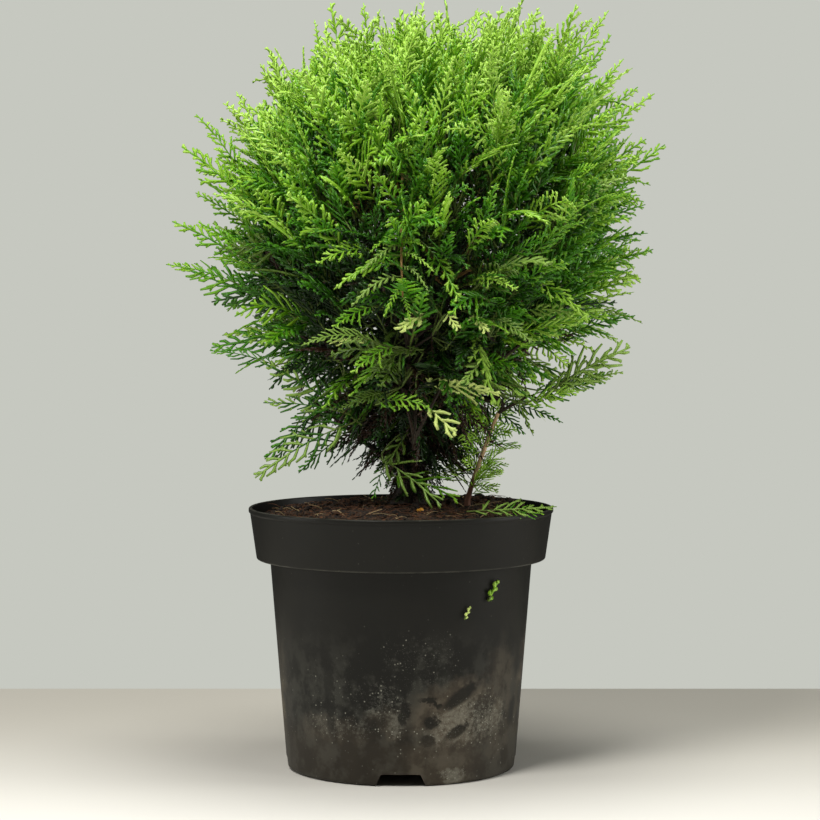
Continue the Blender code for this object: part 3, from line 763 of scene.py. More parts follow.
class SprayShape:
    """A flat spray of unit length along +X in the XY plane, made of fingers with teeth.

    A finger is a three-sided tube through a knee to a blunt edge. A tooth is a three-sided wedge.
    """

    FINGER_FACES = np.array(
        [
            (0, 1, 4), (0, 4, 3), (1, 2, 5), (1, 5, 4), (2, 0, 3), (2, 3, 5),
            (3, 4, 7), (3, 7, 6), (4, 5, 7), (5, 3, 6), (5, 6, 7),
        ]
    )
    TOOTH_FACES = np.array([(0, 1, 4), (0, 4, 3), (1, 2, 4), (2, 0, 3), (2, 3, 4)])

    def __init__(self, draw, width, kind):
        self.width = width * kind.thick
        self.kind = kind
        self.vertices, self.faces, self.heights = [], [], []
        self.count = 0
        self.stalk()
        for turn in range(kind.fingers):
            along = 0.10 + 0.86 * turn / (kind.fingers - 1) + draw.uniform(-0.018, 0.018)
            side = 1 if turn % 2 else -1
            if along < WIDEST:
                swell = 0.62 + 0.38 * along / WIDEST
            else:
                swell = 0.14 + 0.86 * ((1 - along) / (1 - WIDEST)) ** kind.taper
            self.finger(draw, min(along, 0.97), side, kind.reach * swell * draw.uniform(0.55, 1.12))
        self.vertices = np.concatenate(self.vertices)
        self.faces = np.concatenate(self.faces)
        self.heights = np.concatenate(self.heights)

    def put(self, vertices, faces, height):
        """Adds a bit of mesh. Its height makes it lighter towards the tips, and below 0 it is stalk."""
        self.vertices.append(np.asarray(vertices, dtype=float))
        self.faces.append(faces + self.count)
        self.heights.append(np.full(len(faces), height))
        self.count += len(vertices)

    def stalk(self):
        """The spray's middle line, as tapering stretches."""
        ends = np.linspace(0, 1.0, 4)
        for low, high in zip(ends, ends[1:]):
            wide = self.width * (0.60 if low < 0.5 else 0.80)
            middle = (low + high) / 2
            self.long((low, 0), (middle, 0), (high + 0.02, 0), wide, wide, -1.0 if low < 0.3 else low)

    def ring(self, place, aside, width):
        """The three corners of a finger's section."""
        x, y = place
        dx, dy = aside * (width / 2)
        thick = self.width * 0.26
        return [(x + dx, y + dy, -thick), (x - dx, y - dy, -thick), (x, y, thick)]

    def blunt(self, end, aside, width):
        """The two corners of a finger's blunt end."""
        half = aside * width * 0.30
        return [(*(end + half), 0.0), (*(end - half), 0.0)]

    def long(self, start, knee, end, root_width, width, height):
        """A tube through a knee, which narrows or widens from its root and ends blunt."""
        start, knee, end = np.array(start), np.array(knee), np.array(end)
        first, last = beside(start, knee), beside(knee, end)
        rings = self.ring(start, first, root_width) + self.ring(knee, unit(first + last), width)
        self.put(rings + self.blunt(end, last, width), self.FINGER_FACES, height)

    def tooth(self, start, end, width, height):
        aside = beside(start, end)
        self.put(self.ring(start, aside, width) + self.blunt(end, aside, width), self.TOOTH_FACES, height)

    def finger(self, draw, along, side, size):
        """One branchlet that leaves the middle line, with teeth by turns on either side."""
        kind = self.kind
        turn = math.radians(draw.uniform(*kind.angle) - 12 * along) * side
        bend = math.radians(draw.uniform(*kind.bend)) * side
        start = np.array((along, 0.0))
        knee = start + size * KNEE * flat_heading(turn)
        end = knee + size * (1 - KNEE) * flat_heading(turn - bend)
        height = along + 0.25 + draw.uniform(-0.28, 0.28)
        self.long(start, knee, end, self.width * 0.72, self.width, height)
        walked, flip = 0.22 * size + draw.uniform(0, kind.tooth_every * 0.5), side
        while walked < size * 0.92:
            outer = walked > size * KNEE
            if outer:
                place = knee + (end - knee) * (walked / size - KNEE) / (1 - KNEE)
            else:
                place = start + (knee - start) * walked / (size * KNEE)
            heading = turn - (bend if outer else 0) + math.radians(draw.uniform(28, 40)) * flip
            reach = draw.uniform(0.80, 1.20) * min(kind.tooth_reach, 0.026 + (size - walked) * 0.40)
            self.tooth(place, place + reach * flat_heading(heading), self.width * 0.9, height + 0.15)
            walked += kind.tooth_every * 0.80 * draw.uniform(0.8, 1.2)
            flip = -flip


# The greens that a tone picks, from dark to light; with the tones they carry painted light and shade too.
LEAF_SCALE = ("shade", "dark", "deep", "mid", "bright", "fresh", "tip")
LEAF_SPECIALS = ("olive", "pale", "dry", "soft", "stalk")
GREEN, OLIVE, PALE, DRY, SOFT = range(5)


def leaf_slots(tones, stalks, specials):
    """Each face's place in the list of leaf finishes, from its tone, or from its spray's special colour.

    What is darker than the middle green on a soft spray takes the plain greens.
    """
    scale = np.clip(np.floor(tones * len(LEAF_SCALE)), 0, len(LEAF_SCALE) - 1)
    plain = (specials == GREEN) | ((specials == SOFT) & (scale < LEAF_SCALE.index("mid")))
    slots = np.where(plain, scale, len(LEAF_SCALE) + specials - 1)
    slots = np.where(stalks & (specials != DRY), len(LEAF_SCALE) + LEAF_SPECIALS.index("stalk"), slots)
    return slots.astype(np.int32).reshape(-1)


def leaf_finishes(colours):
    names = (*LEAF_SCALE, *LEAF_SPECIALS)
    return [plain_finish(f"leaf_{name}", getattr(colours, name), 0.38, shine=0.36) for name in names]


class Sprays:
    """Sprays as arrays: roots, tips, plane normals, tones, droops, cups, shapes and special colours.

    A droop arches the middle line and hangs the fingers, and a cup bends the fingers out of the plane, both
    as shares of the length. One number stands for the same number in every spray.
    """

    def __init__(self, roots, tips, normals, *others):
        others = [np.broadcast_to(row, len(roots)) for row in others]
        self.rows = (roots, tips, normals, *others)
        self.roots, self.tips = roots, tips
        self.tones, self.droops, self.cups, self.shapes, self.specials = others
        self.lengths = np.linalg.norm(tips - roots, axis=1)
        self.aims = (tips - roots) / self.lengths[:, None]
        self.normals = unit(normals - self.aims * np.sum(normals * self.aims, axis=1, keepdims=True))

    def only(self, chosen):
        """The chosen sprays as a new set."""
        return Sprays(*(row[chosen] for row in self.rows))

    def arrays(self, library, draw, arch):
        """(vertices, faces, finish of each face) of all these sprays, bent and put in place."""
        found = []
        aside = np.cross(self.normals, self.aims)
        for number in np.unique(self.shapes):
            shape = library[number]
            chosen = np.flatnonzero(self.shapes == number)
            size, droop, cup = (row[chosen, None, None] for row in (self.lengths, self.droops, self.cups))
            x, y, z = (shape.vertices[None, :, axis, None] for axis in range(3))
            bend = draw.uniform(-arch, arch, len(chosen))[:, None, None]
            sweep = draw.uniform(-arch, arch, len(chosen))[:, None, None]
            bow = x * x - x
            lift = z + bend * bow + cup * y * y
            across = y + sweep * bow
            flat = x * self.aims[chosen, None] + across * aside[chosen, None]
            rise = x * (1 - x) * droop - y * y * droop * 0.8
            vertices = self.roots[chosen, None] + size * (flat + lift * self.normals[chosen, None])
            vertices = vertices + size * rise * (0, 0, 1)
            faces = shape.faces[None] + (np.arange(len(chosen)) * shape.count)[:, None, None]
            tones = self.tones[chosen, None] + (shape.heights[None] - 0.55) * 0.30
            stalks = np.broadcast_to(shape.heights[None] < 0, tones.shape)
            specials = np.broadcast_to(self.specials[chosen, None], tones.shape)
            slots = leaf_slots(tones, stalks, specials)
            found.append((vertices.reshape(-1, 3), faces.reshape(-1, 3), slots))
        return joined(found)


def gathered(*sets):
    """Several sets of sprays as one."""
    return Sprays(*(np.concatenate(rows) for rows in zip(*(one.rows for one in sets))))


# ---- growing the crown --------------------------------------------------------------------------
# Low at the front, between these places across and up to this height, no spray hides the trunk.
FRONT_OPENING_X = (-0.034, 0.036)
FRONT_OPENING_TOP = 0.305
# A spray of the crown roots within this share of the way to the skin.
ROOT_SHARE = 0.70
# How the tips stand in clumps: the clumps' frequency, and their depth as a share of the way to the skin.
CLUMP_FREQUENCY = 4.2
CLUMP_DEPTH = 0.11
# How far a full hollow draws the tips back towards the crown's middle.
HOLLOW_DEPTH = 0.24
# Coarse sprays are this share of the others' length.
COARSE_LENGTH = 0.86
FAR_LENGTH = 0.092
# The axes that the hanging sprays and the trunk's sprays stand round.
HANGING_AXIS = (0.008, 0, 0)
TRUNK_AXIS = (0.0085, 0, 0)


def lowness(heights, top=0.44, bottom=0.30):
    """1 for what hangs low in the crown, 0 for what stands above its middle."""
    return np.clip((top - heights) / (top - bottom), 0, 1)


def crown_height(points):
    """0 at the crown's foot and 1 near its top."""
    return (points[:, 2] - CROWN_FOOT_Z) / CROWN_SPAN


def in_front_opening(points):
    """Which points lie where the crown is open low at the front, so that the trunk shows."""
    x, y, z = points.T
    low, high = FRONT_OPENING_X
    return (x > low) & (x < high) & (y < 0.0) & (z < FRONT_OPENING_TOP)


def low_sides(points):
    """1 low at the crown's sides, where it is thin, 0 elsewhere."""
    return lowness(points[:, 2], 0.42, 0.32) * np.clip(np.abs(points[:, 0]) / 0.10, 0, 1)


def lit_open_side(points):
    """The low side on the right, which gets the most light."""
    return low_sides(points) * (points[:, 0] > 0)


# The hollows at the front of the crown: place across, height, half width, half height and depth.
# Their depth both draws the tips back and paints the sprays there darker, as painted shade.
HOLLOWS = (
    (0.000, 0.335, 0.080, 0.044, 0.38),
    (-0.060, 0.416, 0.048, 0.028, 0.24),
    (-0.055, 0.366, 0.050, 0.024, 0.16),
    (0.034, 0.398, 0.044, 0.028, 0.16),
    (0.004, 0.450, 0.036, 0.026, 0.14),
)


def hollow(points):
    """How deep each point lies in the hollows, where the sprays stand back and are painted dark, as shade.
    """
    x, y, z = points.T
    found = np.zeros(len(points))
    for across, height, half_width, half_height, depth in HOLLOWS:
        away = ((x - across) / half_width) ** 2 + ((z - height) / half_height) ** 2
        found += depth * np.exp(-away)
    return found * (y < 0)


def shell(crown, draw, count, shares, lengths, numbers, density):
    """Sprays whose tips lie on one shell of the crown and that grow away from where the limbs fork.

    Shares gives the shell's inner and outer side, lengths the shortest and longest spray as shares of the
    mean, numbers the shapes for high, for low and for coarse sprays, and density the share kept at the top
    and at the bottom.
    """
    # The tips stand in clumps, lie back in the hollows and are fewer low down.
    directions = unit(even_directions(count) + draw.normal(0, 0.045, (count, 3)))
    clump = np.array([noise.noise(Vector(row * CLUMP_FREQUENCY)) for row in directions])
    inner, outer = shares
    reach = inner + (outer - inner) * draw.beta(1.3, 1.4, count) + clump * CLUMP_DEPTH
    tips = crown.skin(directions, reach)
    tips += (crown.heart - tips) * (hollow(tips) * HOLLOW_DEPTH)[:, None]
    hang = lowness(tips[:, 2])
    keep = density[0] + (density[1] - density[0]) * lowness(tips[:, 2], 0.52, 0.26)
    keep -= low_sides(tips) * 0.28
    kept = (draw.uniform(0, 1, count) < keep) & (directions[:, 2] > -0.92) & ~in_front_opening(tips)
    directions, tips, hang = directions[kept], tips[kept], hang[kept]

    # Their roots have to lie well inside the crown.
    count = len(tips)
    away = unit(tips - (CROWN_X, 0, GROWTH_CENTRE_Z))
    aims = unit(away + draw.normal(0, 0.34, (count, 3)) + (0, 0, 0.20))
    shortest, longest = (length_share * crown.sizes.spray_length for length_share in lengths)
    roots = tips - aims * draw.uniform(shortest, longest, count)[:, None]
    rooted = (crown.share(roots) < ROOT_SHARE) & (roots[:, 2] > LEAF_FLOOR + 0.02)
    directions, tips, hang, roots, aims = (row[rooted] for row in (directions, tips, hang, roots, aims))

    # High sprays face any way, and low ones lie flat with their upper side up.
    count = len(tips)
    flat = hang[:, None]
    normals = draw.normal(0, 0.55, (count, 3)) + directions * (0.65 - 0.35 * flat) + (0, 0, 1) * flat * 0.95
    normals = np.where((normals[:, 2:] < 0) & (flat > 0.3), -normals, normals)

    # They are lightest at the top and on the skin: partly fresh growth, partly painted light and shade.
    height = crown_height(tips)
    depth = crown.share(tips)
    tones = 0.15 + 0.50 * height + (depth - 0.88) * 2.0 + draw.normal(0, 1, count) * (0.10 + 0.11 * hang)
    # Painted light makes the lit open side lighter still; painted shade makes the hollows darker.
    tones += lit_open_side(tips) * 0.24 - hollow(tips)

    level = np.sqrt(1 - aims[:, 2] ** 2)
    droops = level * draw.uniform(0.15, 0.75, count)
    cups = draw.uniform(-1.0, 0.6, count) * (1 - hang) - hang * draw.uniform(0.4, 1.6, count)
    upright_shapes, hanging_shapes, coarse_shapes = numbers
    hangs = draw.uniform(0, 1, count) < hang * 0.8
    shapes = np.where(hangs, draw.choice(hanging_shapes, count), draw.choice(upright_shapes, count))
    coarse = draw.uniform(0, 1, count) < 0.55 - 2.4 * tips[:, 0]
    shapes = np.where(coarse, draw.choice(coarse_shapes, count), shapes)
    roots = np.where(coarse[:, None], tips + (roots - tips) * COARSE_LENGTH, roots)
    specials = special_colours(draw, height, depth, lit_open_side(tips))
    return Sprays(roots, tips, normals, tones, droops, cups, shapes, specials)


# The shares of sprays that aren't green: olive, pale and dry ones at the crown's foot, and soft ones in
# its lower half and on the open side. The soft ones are dealt from this point of the draw on.
# The soft green partly paints a pale sheen, most of all on the open side, where the light falls most.
OLIVE_SHARE = 0.20
PALE_SHARE = 0.014
DRY_SHARE = 0.35
SOFT_SHARE = 0.045
SOFT_SIDE_SHARE = 0.20
SOFT_FROM = 0.40


def special_colours(draw, height, depth, side):
    """Which sprays aren't green. Dry ones lie low and deep; soft ones, partly painted sheen, lie mostly on
    the open side.
    """
    luck = draw.uniform(0, 1, len(height))
    low = np.clip(1 - height * 1.7, 0, 1)
    deep = np.clip((0.93 - depth) * 3, 0, 1)
    specials = np.full(len(height), GREEN)
    specials[luck < OLIVE_SHARE * low * (1 - side)] = OLIVE
    specials[luck < PALE_SHARE * low] = PALE
    soft = SOFT_SHARE * np.clip((0.75 - height) * 3, 0, 1) + SOFT_SIDE_SHARE * side
    specials[(luck > SOFT_FROM) & (luck < SOFT_FROM + soft * (depth > 0.9))] = SOFT
    specials[luck > 1 - DRY_SHARE * low * deep] = DRY
    return specials


# Sprays that give this shrub its outline and its marks: root, tip, plane normal, kind, tone, droop,
# cup and special colour.
# Where the special colour is soft, it partly paints a pale sheen.
PLACED_SPRAYS = (
    ((-0.031, -0.040, 0.283), (-0.110, -0.060, 0.334), (0.2, -0.9, 0.45), "open", 0.38, 0.10, -0.8, SOFT),
    ((-0.037, -0.050, 0.286), (-0.114, -0.070, 0.244), (0.1, -0.9, 0.45), "open", 0.46, 0.22, -0.6, SOFT),
    ((-0.040, -0.050, 0.292), (-0.108, -0.060, 0.302), (0.1, -0.8, 0.60), "open", 0.36, 0.20, -0.8, SOFT),
    ((-0.041, -0.040, 0.279), (-0.081, -0.052, 0.246), (0.2, -0.9, 0.30), "open", 0.26, 0.16, -0.5, GREEN),
    ((-0.060, 0.010, 0.290), (-0.104, 0.030, 0.252), (0.1, -0.9, 0.40), "open", 0.12, 0.20, -0.4, GREEN),
    ((-0.122, -0.030, 0.392), (-0.188, -0.030, 0.412), (0.1, -0.7, 0.70), "open", 0.62, 0.16, -0.9, GREEN),
    ((-0.098, -0.040, 0.330), (-0.152, -0.045, 0.343), (0.1, -0.7, 0.70), "open", 0.40, 0.16, -0.9, GREEN),
    ((0.015, -0.126, 0.430), (0.044, -0.160, 0.384), (0.1, -0.9, 0.40), "broad", 0.62, 0.25, 0.2, GREEN),
    ((-0.020, -0.126, 0.422), (-0.062, -0.156, 0.412), (0.0, -0.9, 0.50), "broad", 0.70, 0.30, -0.5, GREEN),
    ((-0.018, -0.118, 0.380), (-0.050, -0.152, 0.364), (0.0, -0.9, 0.40), "broad", 0.58, 0.30, -0.4, GREEN),
    ((-0.016, -0.112, 0.350), (-0.074, -0.146, 0.350), (0.1, -0.8, 0.60), "comb", 0.50, 0.40, -0.6, SOFT),
    ((-0.002, -0.106, 0.348), (-0.036, -0.142, 0.329), (0.0, -0.9, 0.40), "broad", 0.64, 0.30, -0.3, GREEN),
    ((-0.011, -0.090, 0.312), (-0.048, -0.120, 0.299), (0.0, -0.9, 0.40), "comb", 0.60, 0.20, -0.3, OLIVE),
    ((0.060, -0.120, 0.334), (0.049, -0.142, 0.322), (-0.1, -0.9, 0.40), "hand", 0.60, 0.10, 0.3, SOFT),
    ((0.070, -0.112, 0.370), (0.100, -0.142, 0.352), (0.1, -0.9, 0.40), "broad", 0.52, 0.30, -0.4, SOFT),
    ((0.020, -0.126, 0.374), (0.000, -0.152, 0.363), (-0.2, -0.9, 0.30), "hand", 0.60, 0.10, 0.1, PALE),
    ((0.036, -0.126, 0.374), (0.043, -0.146, 0.363), (-0.2, -0.9, 0.35), "hand", 0.60, 0.10, 0.1, PALE),
    ((0.056, -0.120, 0.374), (0.064, -0.143, 0.361), (0.1, -0.9, 0.35), "hand", 0.60, 0.10, 0.1, PALE),
    ((0.0200, -0.110, 0.302), (0.0420, -0.128, 0.282), (0.1, -0.9, 0.45), "hand", 0.60, 0.15, 0.1, PALE),
    ((-0.020, -0.098, 0.302), (0.0230, -0.122, 0.300), (0.0, -0.9, 0.50), "broad", 0.66, 0.50, 0.1, GREEN),
    ((0.004, -0.052, 0.276), (-0.010, -0.066, 0.254), (0.1, -0.9, 0.30), "hand", 0.50, 0.10, 0.2, OLIVE),
    ((-0.017, -0.052, 0.257), (0.031, -0.082, 0.223), (0.1, -0.9, 0.40), "sprig", 0.80, 0.30, 0.1, SOFT),
    ((-0.008, -0.034, 0.242), (0.044, -0.072, 0.226), (0.0, -0.6, 0.80), "sprig", 0.60, 0.30, 0.1, GREEN),
    ((-0.014, -0.040, 0.250), (-0.022, -0.060, 0.226), (0.3, -0.9, 0.30), "sprig", 0.34, 0.10, 0.1, GREEN),
    ((0.050, -0.010, 0.300), (0.078, -0.034, 0.268), (0.1, -0.9, 0.40), "comb", 0.20, 0.20, -0.6, GREEN),
    ((0.058, -0.006, 0.306), (0.100, -0.030, 0.276), (0.1, -0.8, 0.50), "open", 0.26, 0.30, -0.6, GREEN),
    ((0.044, 0.006, 0.300), (0.066, -0.008, 0.262), (0.1, -0.9, 0.40), "comb", 0.10, 0.20, -0.6, GREEN),
    ((0.040, -0.020, 0.310), (0.060, -0.052, 0.284), (0.1, -0.9, 0.40), "comb", 0.30, 0.20, -0.6, GREEN),
    ((0.130, -0.020, 0.470), (0.196, -0.030, 0.512), (0.0, -0.9, 0.40), "lobed", 0.66, 0.10, -0.3, GREEN),
    ((0.125, -0.030, 0.350), (0.187, -0.040, 0.371), (0.0, -0.7, 0.70), "open", 0.40, 0.18, -0.9, GREEN),
    ((0.100, -0.030, 0.300), (0.160, -0.050, 0.318), (0.0, -0.7, 0.70), "open", 0.36, 0.18, -0.9, GREEN),
    ((0.120, -0.010, 0.550), (0.167, -0.015, 0.616), (0.0, -0.9, 0.40), "lance", 0.74, 0.10, -0.3, GREEN),
    ((0.128, 0.020, 0.540), (0.172, 0.020, 0.600), (0.0, -0.9, 0.40), "lance", 0.66, 0.10, -0.3, GREEN),
    ((0.115, -0.030, 0.555), (0.152, -0.035, 0.608), (0.2, -0.9, 0.40), "lobed", 0.72, 0.10, -0.3, GREEN),
    ((0.132, -0.020, 0.520), (0.178, -0.030, 0.576), (0.0, -0.9, 0.40), "lance", 0.70, 0.10, -0.3, GREEN),
    ((0.136, 0.010, 0.510), (0.192, 0.000, 0.556), (0.1, -0.9, 0.40), "lobed", 0.66, 0.10, -0.3, GREEN),
    ((0.140, -0.030, 0.495), (0.202, -0.035, 0.548), (0.0, -0.9, 0.40), "lance", 0.70, 0.16, -0.3, GREEN),
    ((-0.124, -0.020, 0.478), (-0.164, -0.025, 0.532), (0.0, -0.9, 0.40), "lance", 0.66, 0.10, -0.3, GREEN),
    ((-0.120, 0.000, 0.440), (-0.166, -0.010, 0.470), (0.0, -0.8, 0.60), "broad", 0.62, 0.16, -0.3, GREEN),
    ((-0.115, -0.040, 0.415), (-0.160, -0.055, 0.445), (0.0, -0.8, 0.60), "broad", 0.60, 0.16, -0.3, GREEN),
    ((0.135, -0.030, 0.400), (0.188, -0.045, 0.432), (0.0, -0.8, 0.60), "comb", 0.50, 0.16, -0.3, GREEN),
    ((0.130, 0.000, 0.425), (0.190, -0.010, 0.468), (0.0, -0.8, 0.60), "lobed", 0.54, 0.16, -0.3, GREEN),
    ((-0.120, -0.020, 0.455), (-0.175, -0.030, 0.506), (0.0, -0.8, 0.60), "broad", 0.66, 0.10, -0.3, GREEN),
    ((-0.122, -0.030, 0.412), (-0.182, -0.040, 0.446), (0.0, -0.8, 0.60), "broad", 0.62, 0.16, -0.3, GREEN),
    ((-0.046, -0.020, 0.552), (-0.056, -0.030, 0.620), (0.0, -0.9, 0.40), "broad", 0.76, 0.00, -0.3, GREEN),
    ((-0.062, 0.000, 0.548), (-0.070, 0.000, 0.610), (0.0, -0.9, 0.40), "lance", 0.72, 0.00, -0.3, GREEN),
    ((-0.024, -0.010, 0.560), (-0.030, -0.015, 0.622), (0.1, -0.9, 0.40), "lobed", 0.74, 0.00, -0.3, GREEN),
    ((0.134, -0.020, 0.392), (0.202, -0.030, 0.424), (0.0, -0.8, 0.60), "lobed", 0.52, 0.16, -0.3, GREEN),
    ((0.100, -0.020, 0.304), (0.168, -0.035, 0.324), (0.0, -0.8, 0.60), "comb", 0.40, 0.20, -0.5, GREEN),
    ((0.070, -0.010, 0.300), (0.130, -0.030, 0.285), (0.0, -0.8, 0.60), "comb", 0.34, 0.24, -0.5, GREEN),
    ((0.1180, -0.060, 0.312), (0.1800, -0.075, 0.346), (0.1, -0.9, 0.42), "frond", 1.00, 0.10, -0.4, SOFT),
    ((0.0960, -0.060, 0.300), (0.1400, -0.080, 0.312), (0.1, -0.9, 0.42), "open", 0.80, 0.20, -0.4, GREEN),
)
# Fuller sprays beside the long open one on the right, in the same terms. They have a draw of their own, so
# that a change to them deals nothing else anew.
SIDE_SPRAYS = (
    ((0.1080, -0.062, 0.303), (0.1660, -0.076, 0.341), (0.1, -0.9, 0.42), "broad", 0.86, 0.10, -0.3, SOFT),
    ((0.1180, -0.062, 0.310), (0.1745, -0.076, 0.327), (0.1, -0.9, 0.42), "comb", 0.80, 0.15, -0.3, SOFT),
)

# A hanging branch at the front, as the four points that shape its curve, and its strands, each from a
# place on the branch to a tip.
FRONT_BRANCH = (
    (0.004, -0.080, 0.470),
    (0.000, -0.128, 0.452),
    (0.000, -0.146, 0.425),
    (0.002, -0.152, 0.386),
)
FRONT_STRANDS = (
    ((0.000, -0.142, 0.432), (-0.023, -0.156, 0.420)),
    ((0.000, -0.145, 0.426), (-0.028, -0.160, 0.406)),
    ((0.000, -0.147, 0.418), (-0.037, -0.162, 0.399)),
    ((0.000, -0.148, 0.411), (-0.049, -0.162, 0.393)),
    ((0.001, -0.150, 0.402), (-0.036, -0.164, 0.380)),
    ((0.000, -0.143, 0.430), (0.018, -0.158, 0.424)),
    ((0.001, -0.147, 0.420), (0.025, -0.160, 0.406)),
    ((0.001, -0.149, 0.410), (0.021, -0.162, 0.391)),
    ((0.002, -0.151, 0.394), (-0.012, -0.162, 0.372)),
    ((0.002, -0.152, 0.388), (0.008, -0.162, 0.366)),
)


def front_strands(numbers, draw):
    """The narrow strands of the hanging branch at the front."""
    roots, tips = np.array(FRONT_STRANDS).transpose(1, 0, 2)
    count = len(roots)
    normals = np.array([(0.0, -0.9, 0.45)] * count)
    tones = draw.uniform(0.62, 0.86, count)
    specials = np.where(np.arange(count) % 3 == 1, SOFT, GREEN)
    shapes = draw.choice(numbers["strand"], count)
    return Sprays(roots, tips, normals, tones, 0.55, 0.0, shapes, specials)


def placed_sprays(rows, numbers, draw):
    """The sprays of a table such as PLACED_SPRAYS."""
    roots, tips, normals, kinds, tones, droops, cups, specials = map(np.array, zip(*rows))
    shapes = np.array([draw.choice(numbers[kind]) for kind in kinds])
    return Sprays(roots, tips, normals, tones, droops, cups, shapes, specials)


def far_sprays(numbers, draw):
    """The sprays whose tips stand furthest out of the crown."""
    tips = np.array([(CROWN_X, 0, height) + outward(turn) * radius for turn, height, radius in FAR_TIPS])
    aims = unit(unit(tips - (CROWN_X, 0, GROWTH_CENTRE_Z)) + draw.normal(0, 0.06, tips.shape))
    count = len(tips)
    hang = lowness(tips[:, 2])
    normals = draw.normal(0, 0.4, (count, 3)) + (0, -0.8, 0.2)
    shapes = draw.choice(numbers["open"], count)
    # Their tone rises with height: partly fresh growth, partly painted light from above.
    tones = 0.30 + 0.42 * crown_height(tips)
    return Sprays(tips - aims * FAR_LENGTH, tips, normals, tones, hang * 0.3, -hang, shapes, GREEN)


def hanging_sprays(numbers, draw, count):
    """Old sprays round the trunk under the crown, most of them dead, that hang from the lowest boughs."""
    away = headings(draw.uniform(0, 2 * math.pi, count), 0.0)
    lifts = draw.uniform(0.262, 0.345, count)
    spread = 0.004 + draw.uniform(0, 0.85, count) * (lifts - 0.252)
    roots = HANGING_AXIS + away * spread[:, None] + (0, 0, 1) * lifts[:, None]
    outwards = away * draw.uniform(0.1, 1.1, count)[:, None]
    aims = unit(outwards + draw.normal(0, 0.25, (count, 3)) - (0, 0, 0.60))
    tips = roots + aims * draw.uniform(0.030, 0.058, count)[:, None]
    tips[:, 2] = np.maximum(tips[:, 2], FOOT + draw.uniform(0.006, 0.030, count))
    normals = draw.normal(0, 0.5, (count, 3)) + away
    specials = np.where(draw.uniform(0, 1, count) < 0.45, DRY, GREEN)
    # The green ones take the darkest greens: old foliage, and painted shade under the crown.
    tones = draw.uniform(-0.12, 0.14, count)
    shapes = draw.choice(np.concatenate([numbers["comb"], numbers["plain"]]), count)
    return Sprays(roots, tips, normals, tones, 0.3, draw.uniform(-1.2, 0, count), shapes, specials)


def trunk_sprays(numbers, draw, count):
    """Short sprays on the trunk below the crown, most of them dead, that hide it down to the soil."""
    away = headings(draw.uniform(0, 2 * math.pi, count), 0.0)
    lifts = FOOT + 0.004 + 0.106 * draw.uniform(0, 1, count) ** 1.35
    falls = np.maximum(lifts - draw.uniform(0.0, 0.034, count), FOOT + 0.003)
    reach = (0.021 + (falls - FOOT) * 0.52) * draw.uniform(0.60, 1.20, count)
    roots = TRUNK_AXIS + away * 0.006 + (0, 0, 1) * lifts[:, None]
    tips = TRUNK_AXIS + away * reach[:, None] + (0, 0, 1) * falls[:, None]
    normals = draw.normal(0, 0.6, (count, 3)) + (0, 0, 0.8)
    luck = draw.uniform(0, 1, count)
    specials = np.where(luck < 0.50, DRY, np.where(luck > 0.92, OLIVE, GREEN))
    # The green ones take the darkest greens: old foliage, and painted shade under the crown.
    tones = draw.uniform(-0.12, 0.20, count)
    shapes = draw.choice(numbers["plain"], count)
    droops, cups = draw.uniform(0, 0.3, count), draw.uniform(-1, 0.5, count)
    return Sprays(roots, tips, normals, tones, droops, cups, shapes, specials)


def stem_sprays(numbers, draw, count):
    """The young feathery sprays along the side stem."""
    rows, _ = side_stem_path()
    along = draw.uniform(1.2, len(rows) - 1, count)
    roots = read_at(along, np.arange(len(rows)), rows)
    away = headings(draw.uniform(0, 2 * math.pi, count), draw.uniform(-0.1, 1.1, count))
    tips = roots + unit(away) * draw.uniform(0.024, 0.044, count)[:, None]
    tips[:, 2] = np.maximum(tips[:, 2], FOOT + 0.006)
    normals = draw.normal(0, 0.5, (count, 3)) + (0, -0.7, 0.5)
    shapes = draw.choice(numbers["wisp"], count)
    # They take the lightest greens: young growth, and painted light where the crown shades them.
    tones = draw.uniform(0.66, 1.10, count)
    return Sprays(roots, tips, normals, tones, 0.2, 0.0, shapes, GREEN)


# The finishes of the crown's twigs, by their place in the list.
TWIG_BARK, TWIG_GREEN, TWIG_TAN = range(3)
# Where a mass's heart is higher than this, its twigs are tan and brown by turns, in runs of so many faces.
TAN_ABOVE = 0.42
TAN_RUN = 160


def twig_arrays(mass, sprays, draw):
    """The mass's stem, the twigs that leave it, and a stalk from those to each spray."""
    start, end = (np.asarray(point) for point in mass.stem())
    axis = end - start
    stem = np.linspace(start, end, 6)[None]
    found = [(*tapered(stem, mass.radius, mass.radius * 0.55, 8), TWIG_BARK)]
    roots = sprays.roots
    knots = max(4, len(roots) // 7)
    order = draw.permutation(len(roots))[:knots]
    forks = start + (roots[order] - start) * 0.80
    shares = np.clip(((forks - start) @ axis) / (axis @ axis) - 0.45, 0.04, 0.92)
    leaves = start + axis * shares[:, None]
    span = np.linalg.norm(forks - leaves, axis=1, keepdims=True)
    leave = leaves + unit(axis) * span * 0.4
    arrive = forks - unit(forks - start) * span * 0.3
    paths = curved(leaves, leave, arrive, forks, 6)
    vertices, faces = tapered(paths, 0.0014, 0.0009, 4)
    tan = TWIG_TAN if mass.heart[2] > TAN_ABOVE else TWIG_BARK
    by_turns = np.arange(len(faces)) // TAN_RUN % 2 == 0
    found.append((vertices, faces, np.where(by_turns, tan, TWIG_BARK)))
    gaps = np.linalg.norm(roots[:, None] - forks[None], axis=2)
    fork = paths[np.argmin(gaps, axis=1), 4]
    reach = np.linalg.norm(roots - fork, axis=1, keepdims=True)
    inner = roots + sprays.aims * 0.004
    stalks = curved(fork, fork + (roots - fork) * 0.3, roots - sprays.aims * reach * 0.2, inner, 5)
    found.append((*tapered(stalks, 0.0009, 0.0007, 3), TWIG_GREEN))
    return joined(found)


